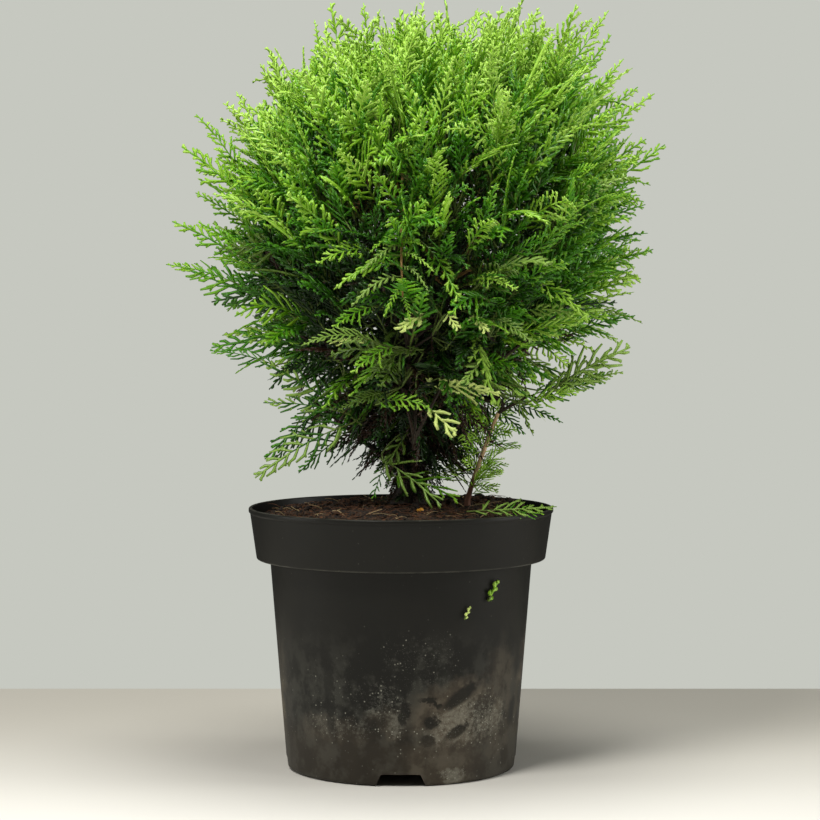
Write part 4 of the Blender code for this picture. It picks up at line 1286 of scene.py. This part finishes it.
def owners(points, masses):
    """The number of the mass whose heart is nearest to each point."""
    hearts = np.array([mass.heart for mass in masses])
    return np.argmin(np.linalg.norm(points[:, None] - hearts[None], axis=2), axis=1)


# ---- the pot ------------------------------------------------------------------------------------
POT_STEPS = 192
DRAIN_COUNT = 4
DRAIN_INNER_RADIUS = 0.045
DRAIN_HOLE_RADIUS = 0.0045
DRAIN_HOLE_AT = 0.072
DRAIN_ROOF_ROUNDING = 0.0012
# Width and height of the chamfer round the pot's foot.
HEEL = 0.0025


def rounded(corners, steps=4):
    """A profile of (radius, height, rounding) corners with each corner rounded off."""
    points = []
    for number, (radius, height, rounding) in enumerate(corners):
        here = np.array((radius, height))
        if not rounding:
            points.append(here)
            continue
        before = np.array(corners[number - 1][:2])
        after = np.array(corners[number + 1][:2])
        start = here + unit(before - here) * rounding
        end = here + unit(after - here) * rounding
        for t in np.linspace(0, 1, steps + 1):
            points.append(start * (1 - t) ** 2 + here * 2 * t * (1 - t) + end * t * t)
    return np.array(points)


def lathe(name, profile, steps, material):
    """A solid of revolution, from a profile that runs from the axis back to the axis."""
    turn = np.arange(steps) * (2 * math.pi / steps)
    middle = profile[1:-1]
    radii, heights = middle[:, :1], np.repeat(middle[:, 1:], steps, axis=1)
    rings = np.stack([radii * np.cos(turn), radii * np.sin(turn), heights], axis=2)
    vertices = [*rings.reshape(-1, 3), (0, 0, profile[0][1]), (0, 0, profile[-1][1])]
    first, last = len(vertices) - 2, len(vertices) - 1
    faces = []
    for row in range(len(middle) - 1):
        faces += ring_faces(row * steps, steps)
    tail = (len(middle) - 1) * steps
    for step in range(steps):
        after = (step + 1) % steps
        faces.append((first, step, after))
        faces.append((last, tail + after, tail + step))
    return piece_from(name, vertices, faces, [material])


def cut(piece, cutter):
    """Cuts the cutter's shape out of the piece and removes the cutter."""
    modifier = piece.modifiers.new("cut", "BOOLEAN")
    modifier.operation = "DIFFERENCE"
    modifier.solver = "EXACT"
    modifier.object = cutter
    graph = bpy.context.evaluated_depsgraph_get()
    mesh = bpy.data.meshes.new_from_object(piece.evaluated_get(graph), depsgraph=graph)
    piece.modifiers.clear()
    piece.data = mesh
    bpy.data.objects.remove(cutter)


def drain_cutter(pot, azimuth):
    """The trapezoid way under the floor, with a rounded roof."""
    builder = bmesh.new()
    bmesh.ops.create_cube(builder, size=1)
    slope = (pot.drain_width - pot.drain_roof) / pot.drain_height
    below = 0.004
    span = pot.base_radius * 1.15 - DRAIN_INNER_RADIUS
    for corner in builder.verts:
        height = pot.drain_height if corner.co.z > 0 else -below
        width = pot.drain_roof + slope * (pot.drain_height - height)
        corner.co = ((corner.co.x + 0.5) * span + DRAIN_INNER_RADIUS, corner.co.y * width, height)
    roof = [edge for edge in builder.edges if all(v.co.z > 0 for v in edge.verts)]
    long_edges = [edge for edge in roof if abs(edge.verts[0].co.y - edge.verts[1].co.y) < 1e-6]
    rounding = {"offset": DRAIN_ROOF_ROUNDING, "segments": 3, "affect": "EDGES", "profile": 0.5}
    bmesh.ops.bevel(builder, geom=long_edges, **rounding)
    bmesh.ops.transform(builder, verts=builder.verts, matrix=Matrix.Rotation(azimuth, 4, "Z"))
    return object_from(builder, "drain_cutter")


def hole_cutter(pot, azimuth):
    """The round hole through the floor, in the roof of that way."""
    builder = bmesh.new()
    size = DRAIN_HOLE_RADIUS
    bmesh.ops.create_cone(builder, cap_ends=True, segments=32, radius1=size, radius2=size, depth=pot.floor)
    place = Matrix.Rotation(azimuth, 4, "Z") @ Matrix.Translation((DRAIN_HOLE_AT, 0, pot.floor))
    bmesh.ops.transform(builder, verts=builder.verts, matrix=place)
    return object_from(builder, "hole_cutter")


class THUJA_OT_pot(bpy.types.Operator):
    """Turns the nursery pot, with its collar, rim bead and drain notches"""

    bl_idname = "thuja.pot"
    bl_label = "Make the pot"

    def execute(self, context):
        pot = context.scene.thuja_pot
        collar_foot = pot.height - pot.collar_height
        bead = pot.rim_bead
        profile = rounded(
            (
                (0, pot.floor, 0),
                (pot.base_radius - pot.wall, pot.floor, 0.003),
                (pot.wall_top_radius - pot.wall, collar_foot + pot.wall, 0.0008),
                (pot.collar_foot_radius - pot.wall, collar_foot + pot.wall, 0.001),
                (pot.rim_radius - pot.wall - bead, pot.height - 0.0003, 0.0006),
                (pot.rim_radius - bead, pot.height, 0.0006),
                (pot.rim_radius, pot.height - 0.0008, 0.0006),
                (pot.rim_radius, pot.height - 0.0035, 0.0006),
                (pot.rim_radius - bead, pot.height - 0.0046, 0.0005),
                (pot.collar_foot_radius, collar_foot, 0.0012),
                (pot.wall_top_radius, collar_foot, 0.0010),
                (pot.base_radius, HEEL, 0.0014),
                (pot.base_radius - HEEL, 0, 0.0014),
                (0, 0, 0),
            )
        )
        piece = lathe("nursery_pot", profile, POT_STEPS, pot_finish(pot))
        for turn in range(DRAIN_COUNT):
            azimuth = math.radians(-90 + 360 * turn / DRAIN_COUNT)
            cut(piece, drain_cutter(pot, azimuth))
            cut(piece, hole_cutter(pot, azimuth))
        piece.data.shade_smooth()
        piece.data.set_sharp_from_angle(angle=math.radians(35))
        dress(piece, "pot_plastic", "pot")
        return {"FINISHED"}


# ---- the soil -----------------------------------------------------------------------------------
# The mound falls from this radius to the soil's edge.
SOIL_PLATEAU = 0.068
# The heap at the back on the right: place across, from front to back, half widths both ways and height.
SOIL_HEAP = (0.075, 0.045, 0.030, 0.035, 0.006)
# The soil's roughness: frequency per metre, height and the layer of the noise.
SOIL_ROUGHNESS = ((60, 0.0026, 3), (190, 0.0019, 7), (480, 0.0011, 5))
# The rough surface is let down by this much.
SOIL_SINK = 0.0020
SOIL_RINGS = 92
SOIL_STEPS = 256
SKIRT_TAPER = 0.97
SKIRT_DEPTH = 0.02
SOIL_SEED = 21
# The finishes of the loose bits, by their place in the list.
BARK_CHIP, STRAW, GRAIN, DARK_CHIP = range(4)
# The orange grains: place across, place from front to back, and size.
GRAINS = ((0.0165, -0.0470, 0.0046), (0.0140, -0.0480, 0.0028))


def soil_edge_radius():
    """The soil's radius at its rim, just inside the collar."""
    return SOIL_HIGH.x - 0.0002


def soil_height(x, y, soil, pot):
    """The soil's surface: a low mound, rough, and higher at the back on the right."""
    radius = math.hypot(x, y)
    edge = pot.height - soil.edge_drop
    fall = max(0.0, (radius - SOIL_PLATEAU) / (soil_edge_radius() - SOIL_PLATEAU))
    swell = edge + soil.mound * (1 - fall**1.4)
    middle_x, middle_y, half_x, half_y, top = SOIL_HEAP
    heap = top * math.exp(-(((x - middle_x) / half_x) ** 2) - ((y - middle_y) / half_y) ** 2)
    rough = 0.0
    for frequency, height, layer in SOIL_ROUGHNESS:
        rough += height * noise.noise(Vector((x * frequency, y * frequency, layer)))
    return swell + heap + rough - SOIL_SINK


def soil_surface(soil, pot, material):
    """A polar grid over the pot's opening, with a skirt down inside the collar."""
    rings, steps = SOIL_RINGS, SOIL_STEPS
    vertices = [(0, 0, soil_height(0, 0, soil, pot))]
    for ring in range(1, rings + 1):
        radius = soil_edge_radius() * ring / rings
        for step in range(steps):
            turn = 2 * math.pi * step / steps
            x, y = radius * math.cos(turn), radius * math.sin(turn)
            vertices.append((x, y, soil_height(x, y, soil, pot)))
    for x, y, z in vertices[-steps:]:
        vertices.append((x * SKIRT_TAPER, y * SKIRT_TAPER, z - SKIRT_DEPTH))
    faces = [(0, 1 + step, 1 + (step + 1) % steps) for step in range(steps)]
    for ring in range(rings):
        faces += ring_faces(1 + ring * steps, steps)
    return piece_from("soil_surface", vertices, faces, [material])


def soil_place(draw, reach=0.97):
    """A random place on the soil, as (x, y)."""
    radius = soil_edge_radius() * reach * math.sqrt(draw.random())
    turn = draw.uniform(0, 2 * math.pi)
    return radius * math.cos(turn), radius * math.sin(turn)


def scattered_solid(points, corners, place, turn, scale, slot):
    """One loose bit: a unit shape turned, scaled and put in place."""
    matrix = np.array(turn.to_3x3()) * np.array(scale)
    return points @ matrix.T + np.array(place), corners, slot


def in_order(corners):
    """The same triangles in a fixed order. Triangulating may list them in another one at each run."""
    corners = np.array([np.roll(row, -row.argmin()) for row in corners])
    return corners[np.lexsort(corners.T)]


def unit_shape(kind):
    """(points, triangles) of a lumpy ball or a bevelled chip of unit size."""
    builder = bmesh.new()
    if kind == "clod":
        bmesh.ops.create_icosphere(builder, subdivisions=2, radius=0.5)
    else:
        bmesh.ops.create_cube(builder, size=1)
        bmesh.ops.bevel(builder, geom=builder.edges[:], offset=0.12, segments=1, affect="EDGES")
        bmesh.ops.triangulate(builder, faces=builder.faces)
    builder.verts.index_update()
    points = np.array([tuple(corner.co) for corner in builder.verts])
    corners = np.array([[corner.index for corner in face.verts] for face in builder.faces])
    builder.free()
    return points, corners if kind == "clod" else in_order(corners)


def random_turn(draw, tilt):
    """Any turn round the upright, tilted by up to that angle in radians."""
    along_x = Matrix.Rotation(draw.uniform(-tilt, tilt), 3, "X")
    along_y = Matrix.Rotation(draw.uniform(-tilt, tilt), 3, "Y")
    return along_x @ along_y @ Matrix.Rotation(draw.uniform(0, 2 * math.pi), 3, "Z")


def clod_bits(draw, soil, pot, lump):
    """Lumps of peat, larger on the heap at the back on the right."""
    points, corners = lump
    bits = []
    for _ in range(soil.clods):
        x, y = soil_place(draw, 0.95)
        size = draw.uniform(0.0018, 0.0062) * (1.3 if x > 0.04 and y > 0 else 1.0)
        rough = points * np.array([[draw.uniform(0.78, 1.2)] for _ in points])
        place = (x, y, soil_height(x, y, soil, pot) + size * 0.12)
        scale = (size, size, size * 0.7)
        bits.append(scattered_solid(rough, corners, place, random_turn(draw, 0.6), scale, 0))
    return bits


def chip_bits(draw, soil, pot):
    """Chips of bark, and a few of straw, that lie nearly flat."""
    chip, chip_faces = unit_shape("chip")
    bits = []
    for _ in range(soil.chips):
        x, y = soil_place(draw)
        size = draw.uniform(0.0012, 0.0046)
        wide = size * draw.uniform(0.35, 0.8)
        scale = (size, wide, size * draw.uniform(0.12, 0.3))
        luck = draw.random()
        slot = DARK_CHIP if luck < 0.50 else BARK_CHIP if luck < 0.96 else STRAW
        place = (x, y, soil_height(x, y, soil, pot) + 0.0004)
        bits.append(scattered_solid(chip, chip_faces, place, random_turn(draw, 0.5), scale, slot))
    return bits


def grain_bits(draw, soil, pot, lump):
    """The orange grains near the trunk's foot."""
    bits = []
    for x, y, size in GRAINS:
        place = (x, y, soil_height(x, y, soil, pot) + size * 0.5)
        bits.append(scattered_solid(*lump, place, random_turn(draw, 1), (size,) * 3, GRAIN))
    return bits


def fibre_bits(draw, soil, pot):
    """Root fibres that lie on the soil, a few of them pale."""
    starts, ends = [], []
    for _ in range(soil.fibres):
        x, y = soil_place(draw, 0.94)
        turn, span = draw.uniform(0, 2 * math.pi), draw.uniform(0.004, 0.016)
        z = soil_height(x, y, soil, pot) + 0.0006
        starts.append((x, y, z))
        lift = draw.uniform(-0.001, 0.003)
        ends.append((x + span * math.cos(turn), y + span * math.sin(turn), z + lift))
    starts, ends = np.array(starts), np.array(ends)
    middle = (starts + ends) / 2 + np.array([(0, 0, draw.uniform(0.0005, 0.002)) for _ in starts])
    paths = curved(starts, middle, middle, ends, 4)
    inside = np.hypot(paths[:, -1, 0], paths[:, -1, 1]) < soil_edge_radius() * 0.97
    paths = paths[inside]
    vertices, faces = tubes(paths, np.full(paths.shape[:2], 0.00024), 3)
    quads = len(faces) // 2
    return [(vertices, faces, np.where(np.arange(len(faces)) % quads < quads * 0.93, BARK_CHIP, STRAW))]


def stick_bits(draw, soil, pot):
    """Pale sticks that rise a little out of the soil."""
    bits = []
    for _ in range(soil.sticks):
        x, y = soil_place(draw, 0.86)
        turn, span = draw.uniform(0, 2 * math.pi), draw.uniform(0.008, 0.026)
        start = np.array((x, y, soil_height(x, y, soil, pot)))
        end = start + (span * math.cos(turn), span * math.sin(turn), draw.uniform(0.001, 0.007))
        if math.hypot(end[0], end[1]) > soil_edge_radius() * 0.95:
            continue
        sag = (start + end) / 2 + (0, 0, draw.uniform(-0.001, 0.003))
        path = curved(start[None], sag[None], sag[None], end[None], 6)
        bits.append((*tubes(path, np.full((1, 6), draw.uniform(0.0002, 0.0004)), 5), STRAW))
    return bits


class THUJA_OT_soil(bpy.types.Operator):
    """Fills the pot with peat, clods, bark chips, fibres and a few grains"""

    bl_idname = "thuja.soil"
    bl_label = "Fill the pot"

    def execute(self, context):
        soil, pot = context.scene.thuja_soil, context.scene.thuja_pot
        draw = random.Random(SOIL_SEED)
        peat = soil_finish(soil)
        dress(soil_surface(soil, pot, peat), "soil", "soil")

        lump = unit_shape("clod")
        lay("soil_clods", clod_bits(draw, soil, pot, lump), [peat], "soil")

        finishes = [
            plain_finish("bark_chip", soil.bark_chip, 0.85),
            plain_finish("straw_chip", soil.straw, 0.80),
            plain_finish("orange_grain", soil.grain, 0.45),
            plain_finish("dark_chip", soil.dark_chip, 0.90),
        ]
        chips = chip_bits(draw, soil, pot) + grain_bits(draw, soil, pot, lump)
        lay("bark_chips", chips, finishes, "soil", smooth=False)
        fibres = fibre_bits(draw, soil, pot) + stick_bits(draw, soil, pot)
        lay("root_fibres", fibres, finishes[:2], "soil")
        return {"FINISHED"}


# ---- limbs --------------------------------------------------------------------------------------
DEAD_TWIG_SEED = 31
TRUNK_RINGS = 150


def dead_twig_paths(draw, count):
    """Bare twigs that leave the trunk inside the crown."""
    trunk_points, _ = smoothed(*trunk_path(), 60)
    rise = draw.uniform(0.24, 0.75, count)
    starts = trunk_points[(rise * 59).astype(int)]
    heading = headings(draw.uniform(0, 2 * math.pi, count), draw.uniform(0.0, 1.1, count))
    span = draw.uniform(0.03, 0.08, count)[:, None]
    ends = starts + unit(heading) * span + draw.normal(0, 0.008, (count, 3))
    middle = starts + unit(heading + (0, 0, 0.4)) * span * 0.5
    return curved(starts, middle, ends + draw.normal(0, 0.010, (count, 3)), ends, 7)


def barked(points, radii):
    """A limb's tube from its middle line and the radii that furrow it."""
    return (*tubes(points[None], radii[None], radii.shape[1]), 0)


class THUJA_OT_limbs(bpy.types.Operator):
    """Grows the barked trunk, the side stem, the boughs and the dead twigs inside"""

    bl_idname = "thuja.limbs"
    bl_label = "Grow the limbs"

    def execute(self, context):
        limbs = context.scene.thuja_limbs
        bark = bark_finish("bark_old", limbs.bark, 0.35, 260)
        young = bark_finish("bark_young", limbs.young_bark, 0.68, 420, foot=limbs.stem_foot)

        points, radii = smoothed(*trunk_path(), TRUNK_RINGS)
        rough = furrowed(radii, 28, limbs.relief, 2.0, knots=0.12)
        rough *= np.minimum(1, (np.arange(TRUNK_RINGS)[::-1, None] + 1) / 6) ** 0.5
        lay("barked_trunk", [barked(points, rough)], [bark], "bark", "trunk")

        points, radii = smoothed(*side_stem_path(), 70)
        rough = furrowed(radii * 0.78, 12, limbs.relief * 0.3, 9.0, knots=0.25)
        lay("barked_side_stem", [barked(points, rough)], [young], "bark", "side_stem")

        _, boughs = all_masses()
        bits = []
        for number, (path, root) in enumerate(boughs.values()):
            points, radii = smoothed(path, root * np.linspace(1, 1 - BOUGH_TAPER, len(path)), 34)
            bits.append(barked(points, furrowed(radii, 12, limbs.relief * 0.45, number * 1.7, knots=0.18)))
        lay("barked_boughs", bits, [bark], "bark", *(f"bough_{name}" for name in boughs))

        paths = dead_twig_paths(np.random.default_rng(DEAD_TWIG_SEED), limbs.dead_twigs)
        dead = plain_finish("dead_twig", limbs.dead_twig, 0.9)
        lay("dead_twigs", [(*tapered(paths, 0.0010, 0.0004, 3), 0)], [dead], "bark")
        return {"FINISHED"}


# ---- the crown ----------------------------------------------------------------------------------
# What is added to the crown's seed for the side sprays and for the loose sprigs.
SIDE_SEED_STEP = 40
LOOSE_SEED_STEP = 1


def spray_library(draw, width):
    """The shapes that all sprays are made from, and the shapes' numbers by kind."""
    library, numbers = [], {}
    for name, kind in SPRAY_KINDS.items():
        numbers[name] = np.arange(len(library), len(library) + kind.shapes)
        library += [SprayShape(draw, width, kind) for _ in range(kind.shapes)]
    return library, numbers


class THUJA_OT_crown(bpy.types.Operator):
    """Grows every mass of foliage: stems, twigs and flat sprays of scale leaves"""

    bl_idname = "thuja.crown"
    bl_label = "Grow the crown"

    def execute(self, context):
        sizes = context.scene.thuja_crown
        crown = Crown(sizes)
        masses, _ = all_masses()
        draw = np.random.default_rng(sizes.seed)
        library, numbers = spray_library(draw, sizes.finger_width / sizes.spray_length)
        high = np.concatenate([numbers["lance"], numbers["lobed"]])
        low = np.concatenate([numbers["comb"], numbers["open"]])
        plain, broad = numbers["plain"], numbers["broad"]
        shells = (
            (sizes.outer_sprays, (0.84, 1.06), (0.80, 1.25), (high, low, broad), (1, 0.78)),
            (sizes.mid_sprays, (0.70, 0.88), (0.70, 1.00), (plain, low, broad), (1, 0.62)),
            (sizes.inner_sprays, (0.46, 0.70), (0.50, 0.80), (plain, plain, plain), (1, 0.80)),
        )
        sprays = gathered(
            *(shell(crown, draw, *row) for row in shells),
            far_sprays(numbers, draw),
            placed_sprays(PLACED_SPRAYS, numbers, draw),
            hanging_sprays(numbers, draw, sizes.hanging_sprays),
        )
        leaves = leaf_finishes(context.scene.thuja_leaves)
        limbs = context.scene.thuja_limbs
        twig_finishes = [
            plain_finish("twig_bark", limbs.bark, 0.85),
            plain_finish("twig_green", context.scene.thuja_leaves.stalk, 0.7),
            plain_finish("twig_tan", limbs.tan_twig, 0.7),
        ]
        owner = owners(sprays.tips, masses)
        twigs = []
        for number, mass in enumerate(masses):
            own = sprays.only(owner == number)
            bits = [own.arrays(library, draw, sizes.arch)]
            lay(f"sprays_{mass.name}", bits, leaves, "foliage", f"foliage_{mass.name}")
            twigs.append(twig_arrays(mass, own, draw))

        on_stems = gathered(
            trunk_sprays(numbers, draw, sizes.trunk_sprays),
            stem_sprays(numbers, draw, sizes.stem_sprays),
            front_strands(numbers, draw),
        )
        bits = [on_stems.arrays(library, draw, sizes.arch)]
        side_draw = np.random.default_rng(sizes.seed + SIDE_SEED_STEP)
        side = placed_sprays(SIDE_SPRAYS, numbers, side_draw)
        bits.append(side.arrays(library, side_draw, sizes.arch))
        lay("sprays_on_stems", bits, leaves, "foliage")

        branch = curved(*np.array(FRONT_BRANCH)[:, None], 10)
        twigs.append((*tapered(branch, 0.0013, 0.0007, 6), TWIG_TAN))
        lay("crown_twigs", twigs, twig_finishes, "foliage")
        return {"FINISHED"}


# ---- loose bits ---------------------------------------------------------------------------------
# Sprigs that have come off the shrub, in the same terms as the placed sprays. The first two lie over the
# rim and the last two are stuck to the pot's wall.
LOOSE_SPRIGS = (
    ((0.052, -0.089, 0.2178), (0.1225, -0.070, 0.2198), (0.05, -0.60, 0.80), "plain", 0.80, 0, 0, SOFT),
    ((0.078, -0.082, 0.2178), (0.1120, -0.074, 0.2150), (0.0, -0.80, 0.60), "sprig", 0.55, 0, 0, GREEN),
    ((0.0694, -0.0830, 0.1460), (0.0768, -0.0785, 0.1610), (0.69, -0.72, 0.0), "scrap", 0.78, 0, 0, GREEN),
    ((0.0505, -0.0950, 0.1330), (0.0548, -0.0928, 0.1425), (0.50, -0.86, 0.0), "scrap", 0.90, 0, 0, PALE),
)
LOOSE_ARCH = 0.02


class THUJA_OT_loose_sprigs(bpy.types.Operator):
    """Lays the fallen sprigs over the rim and sticks two scraps to the pot's wall"""

    bl_idname = "thuja.loose_sprigs"
    bl_label = "Drop the loose sprigs"

    def execute(self, context):
        sizes = context.scene.thuja_crown
        draw = np.random.default_rng(sizes.seed + LOOSE_SEED_STEP)
        library, numbers = spray_library(draw, sizes.finger_width / sizes.spray_length)
        sprigs = placed_sprays(LOOSE_SPRIGS, numbers, draw).arrays(library, draw, LOOSE_ARCH)
        lay("loose_sprigs", [sprigs], leaf_finishes(context.scene.thuja_leaves), "foliage")
        return {"FINISHED"}


# ---- the stage ----------------------------------------------------------------------------------
# The soft lights: name, place, size, power and tint.
LIGHTS = (
    ("key_light", (-0.62, -1.04, 1.86), 0.6, 34, (1.0, 0.985, 0.95)),
    ("fill_light", (1.2, -1.1, 1.3), 0.7, 5, (1.0, 1.0, 0.97)),
    ("top_light", (0.1, -0.05, 2.0), 0.7, 20, (1.0, 1.0, 0.97)),
    ("left_light", (-1.8, -0.2, 0.50), 0.8, 10, (1.0, 1.0, 0.97)),
    ("right_light", (1.8, -0.2, 0.50), 0.8, 13, (1.0, 1.0, 0.97)),
)
LIGHT_AIM = (0.0, 0.0, 0.40)
FLOOR_HALF_WIDTH = 1.9
FLOOR_FRONT = 1.7
# The places from back to front between which the floor takes the colour of its painted light at the front.
FLOOR_FADE = (0.30, -0.55)
SENSOR_WIDTH = 36


def area_light(name, place, size, power, tint):
    light = bpy.data.lights.new(name, "AREA")
    light.shape = "DISK"
    light.size = size
    light.energy = power
    light.color = tint
    lamp = bpy.data.objects.new(name, light)
    lamp.location = place
    lamp.rotation_euler = (Vector(LIGHT_AIM) - Vector(place)).to_track_quat("-Z", "Y").to_euler()
    bpy.context.scene.collection.objects.link(lamp)


def studio_world(studio):
    """A plain backdrop for the camera, and a dimmer even light for everything else."""
    world = bpy.data.worlds.new("studio")
    world.use_nodes = True
    nodes, links = world.node_tree.nodes, world.node_tree.links
    seen = nodes["Background"]
    seen.inputs["Color"].default_value = (*studio.backdrop, 1)
    even = nodes.new("ShaderNodeBackground")
    even.inputs["Color"].default_value = (*studio.backdrop, 1)
    even.inputs["Strength"].default_value = studio.even_light
    chooser = nodes.new("ShaderNodeMixShader")
    links.new(nodes.new("ShaderNodeLightPath").outputs["Is Camera Ray"], chooser.inputs[0])
    links.new(even.outputs[0], chooser.inputs[1])
    links.new(seen.outputs[0], chooser.inputs[2])
    links.new(chooser.outputs[0], nodes["World Output"].inputs["Surface"])
    return world


class THUJA_OT_stage(bpy.types.Operator):
    """Lays the pale floor, sets the soft lights and places the camera"""

    bl_idname = "thuja.stage"
    bl_label = "Set the stage"

    def execute(self, context):
        scene, studio = context.scene, context.scene.thuja_studio
        builder = bmesh.new()
        bmesh.ops.create_grid(builder, x_segments=1, y_segments=1, size=1)
        for corner in builder.verts:
            edge = studio.floor_behind if corner.co.y > 0 else -FLOOR_FRONT
            corner.co = (corner.co.x * FLOOR_HALF_WIDTH, edge, 0)
        finish = Finish("studio_floor", studio.floor, 0.65)
        _, y, _ = finish.axes(finish.place())
        # Painted light: the floor is lighter towards the front.
        colour = finish.mix(y.between(*FLOOR_FADE), studio.floor, studio.floor_front_light)
        finish.fill(finish.shader, {"Base Color": colour})
        floor = object_from(builder, "studio_floor")
        floor.data.materials.append(finish.material)

        scene.world = studio_world(studio)

        for light in LIGHTS:
            area_light(*light)

        lens = bpy.data.cameras.new("camera")
        lens.sensor_width = SENSOR_WIDTH
        lens.lens = SENSOR_WIDTH / 2 / math.tan(studio.view_angle / 2)
        lens.clip_start = 0.05
        camera = bpy.data.objects.new("camera", lens)
        camera.location = (studio.offset, -studio.distance, studio.height)
        camera.rotation_euler = (math.radians(90) - studio.tilt, 0, 0)
        scene.collection.objects.link(camera)
        scene.camera = camera
        scene.view_settings.view_transform = "Standard"
        return {"FINISHED"}


class THUJA_PT_panel(bpy.types.Panel):
    """Lists the thuja's pieces in the sidebar"""

    bl_label = "Potted Thuja"
    bl_idname = "THUJA_PT_panel"
    bl_space_type = "VIEW_3D"
    bl_region_type = "UI"
    bl_category = "Thuja"

    def draw(self, context):
        for operator in OPERATORS:
            self.layout.operator(operator.bl_idname)


SETTINGS = {
    "thuja_pot": ThujaPotSettings,
    "thuja_soil": ThujaSoilSettings,
    "thuja_limbs": ThujaLimbSettings,
    "thuja_crown": ThujaCrownSettings,
    "thuja_leaves": ThujaLeafColours,
    "thuja_studio": ThujaStudioSettings,
}
OPERATORS = (
    THUJA_OT_pot,
    THUJA_OT_soil,
    THUJA_OT_limbs,
    THUJA_OT_crown,
    THUJA_OT_loose_sprigs,
    THUJA_OT_stage,
)


def register():
    for cls in (*SETTINGS.values(), *OPERATORS, THUJA_PT_panel):
        bpy.utils.register_class(cls)
    for name, cls in SETTINGS.items():
        setattr(bpy.types.Scene, name, PointerProperty(type=cls))


def unregister():
    for name in SETTINGS:
        delattr(bpy.types.Scene, name)
    for cls in reversed((*SETTINGS.values(), *OPERATORS, THUJA_PT_panel)):
        bpy.utils.unregister_class(cls)


def main():
    register()
    bpy.ops.thuja.pot()
    bpy.ops.thuja.soil()
    bpy.ops.thuja.limbs()
    bpy.ops.thuja.crown()
    bpy.ops.thuja.loose_sprigs()
    bpy.ops.thuja.stage()


if __name__ == "__main__":
    main()
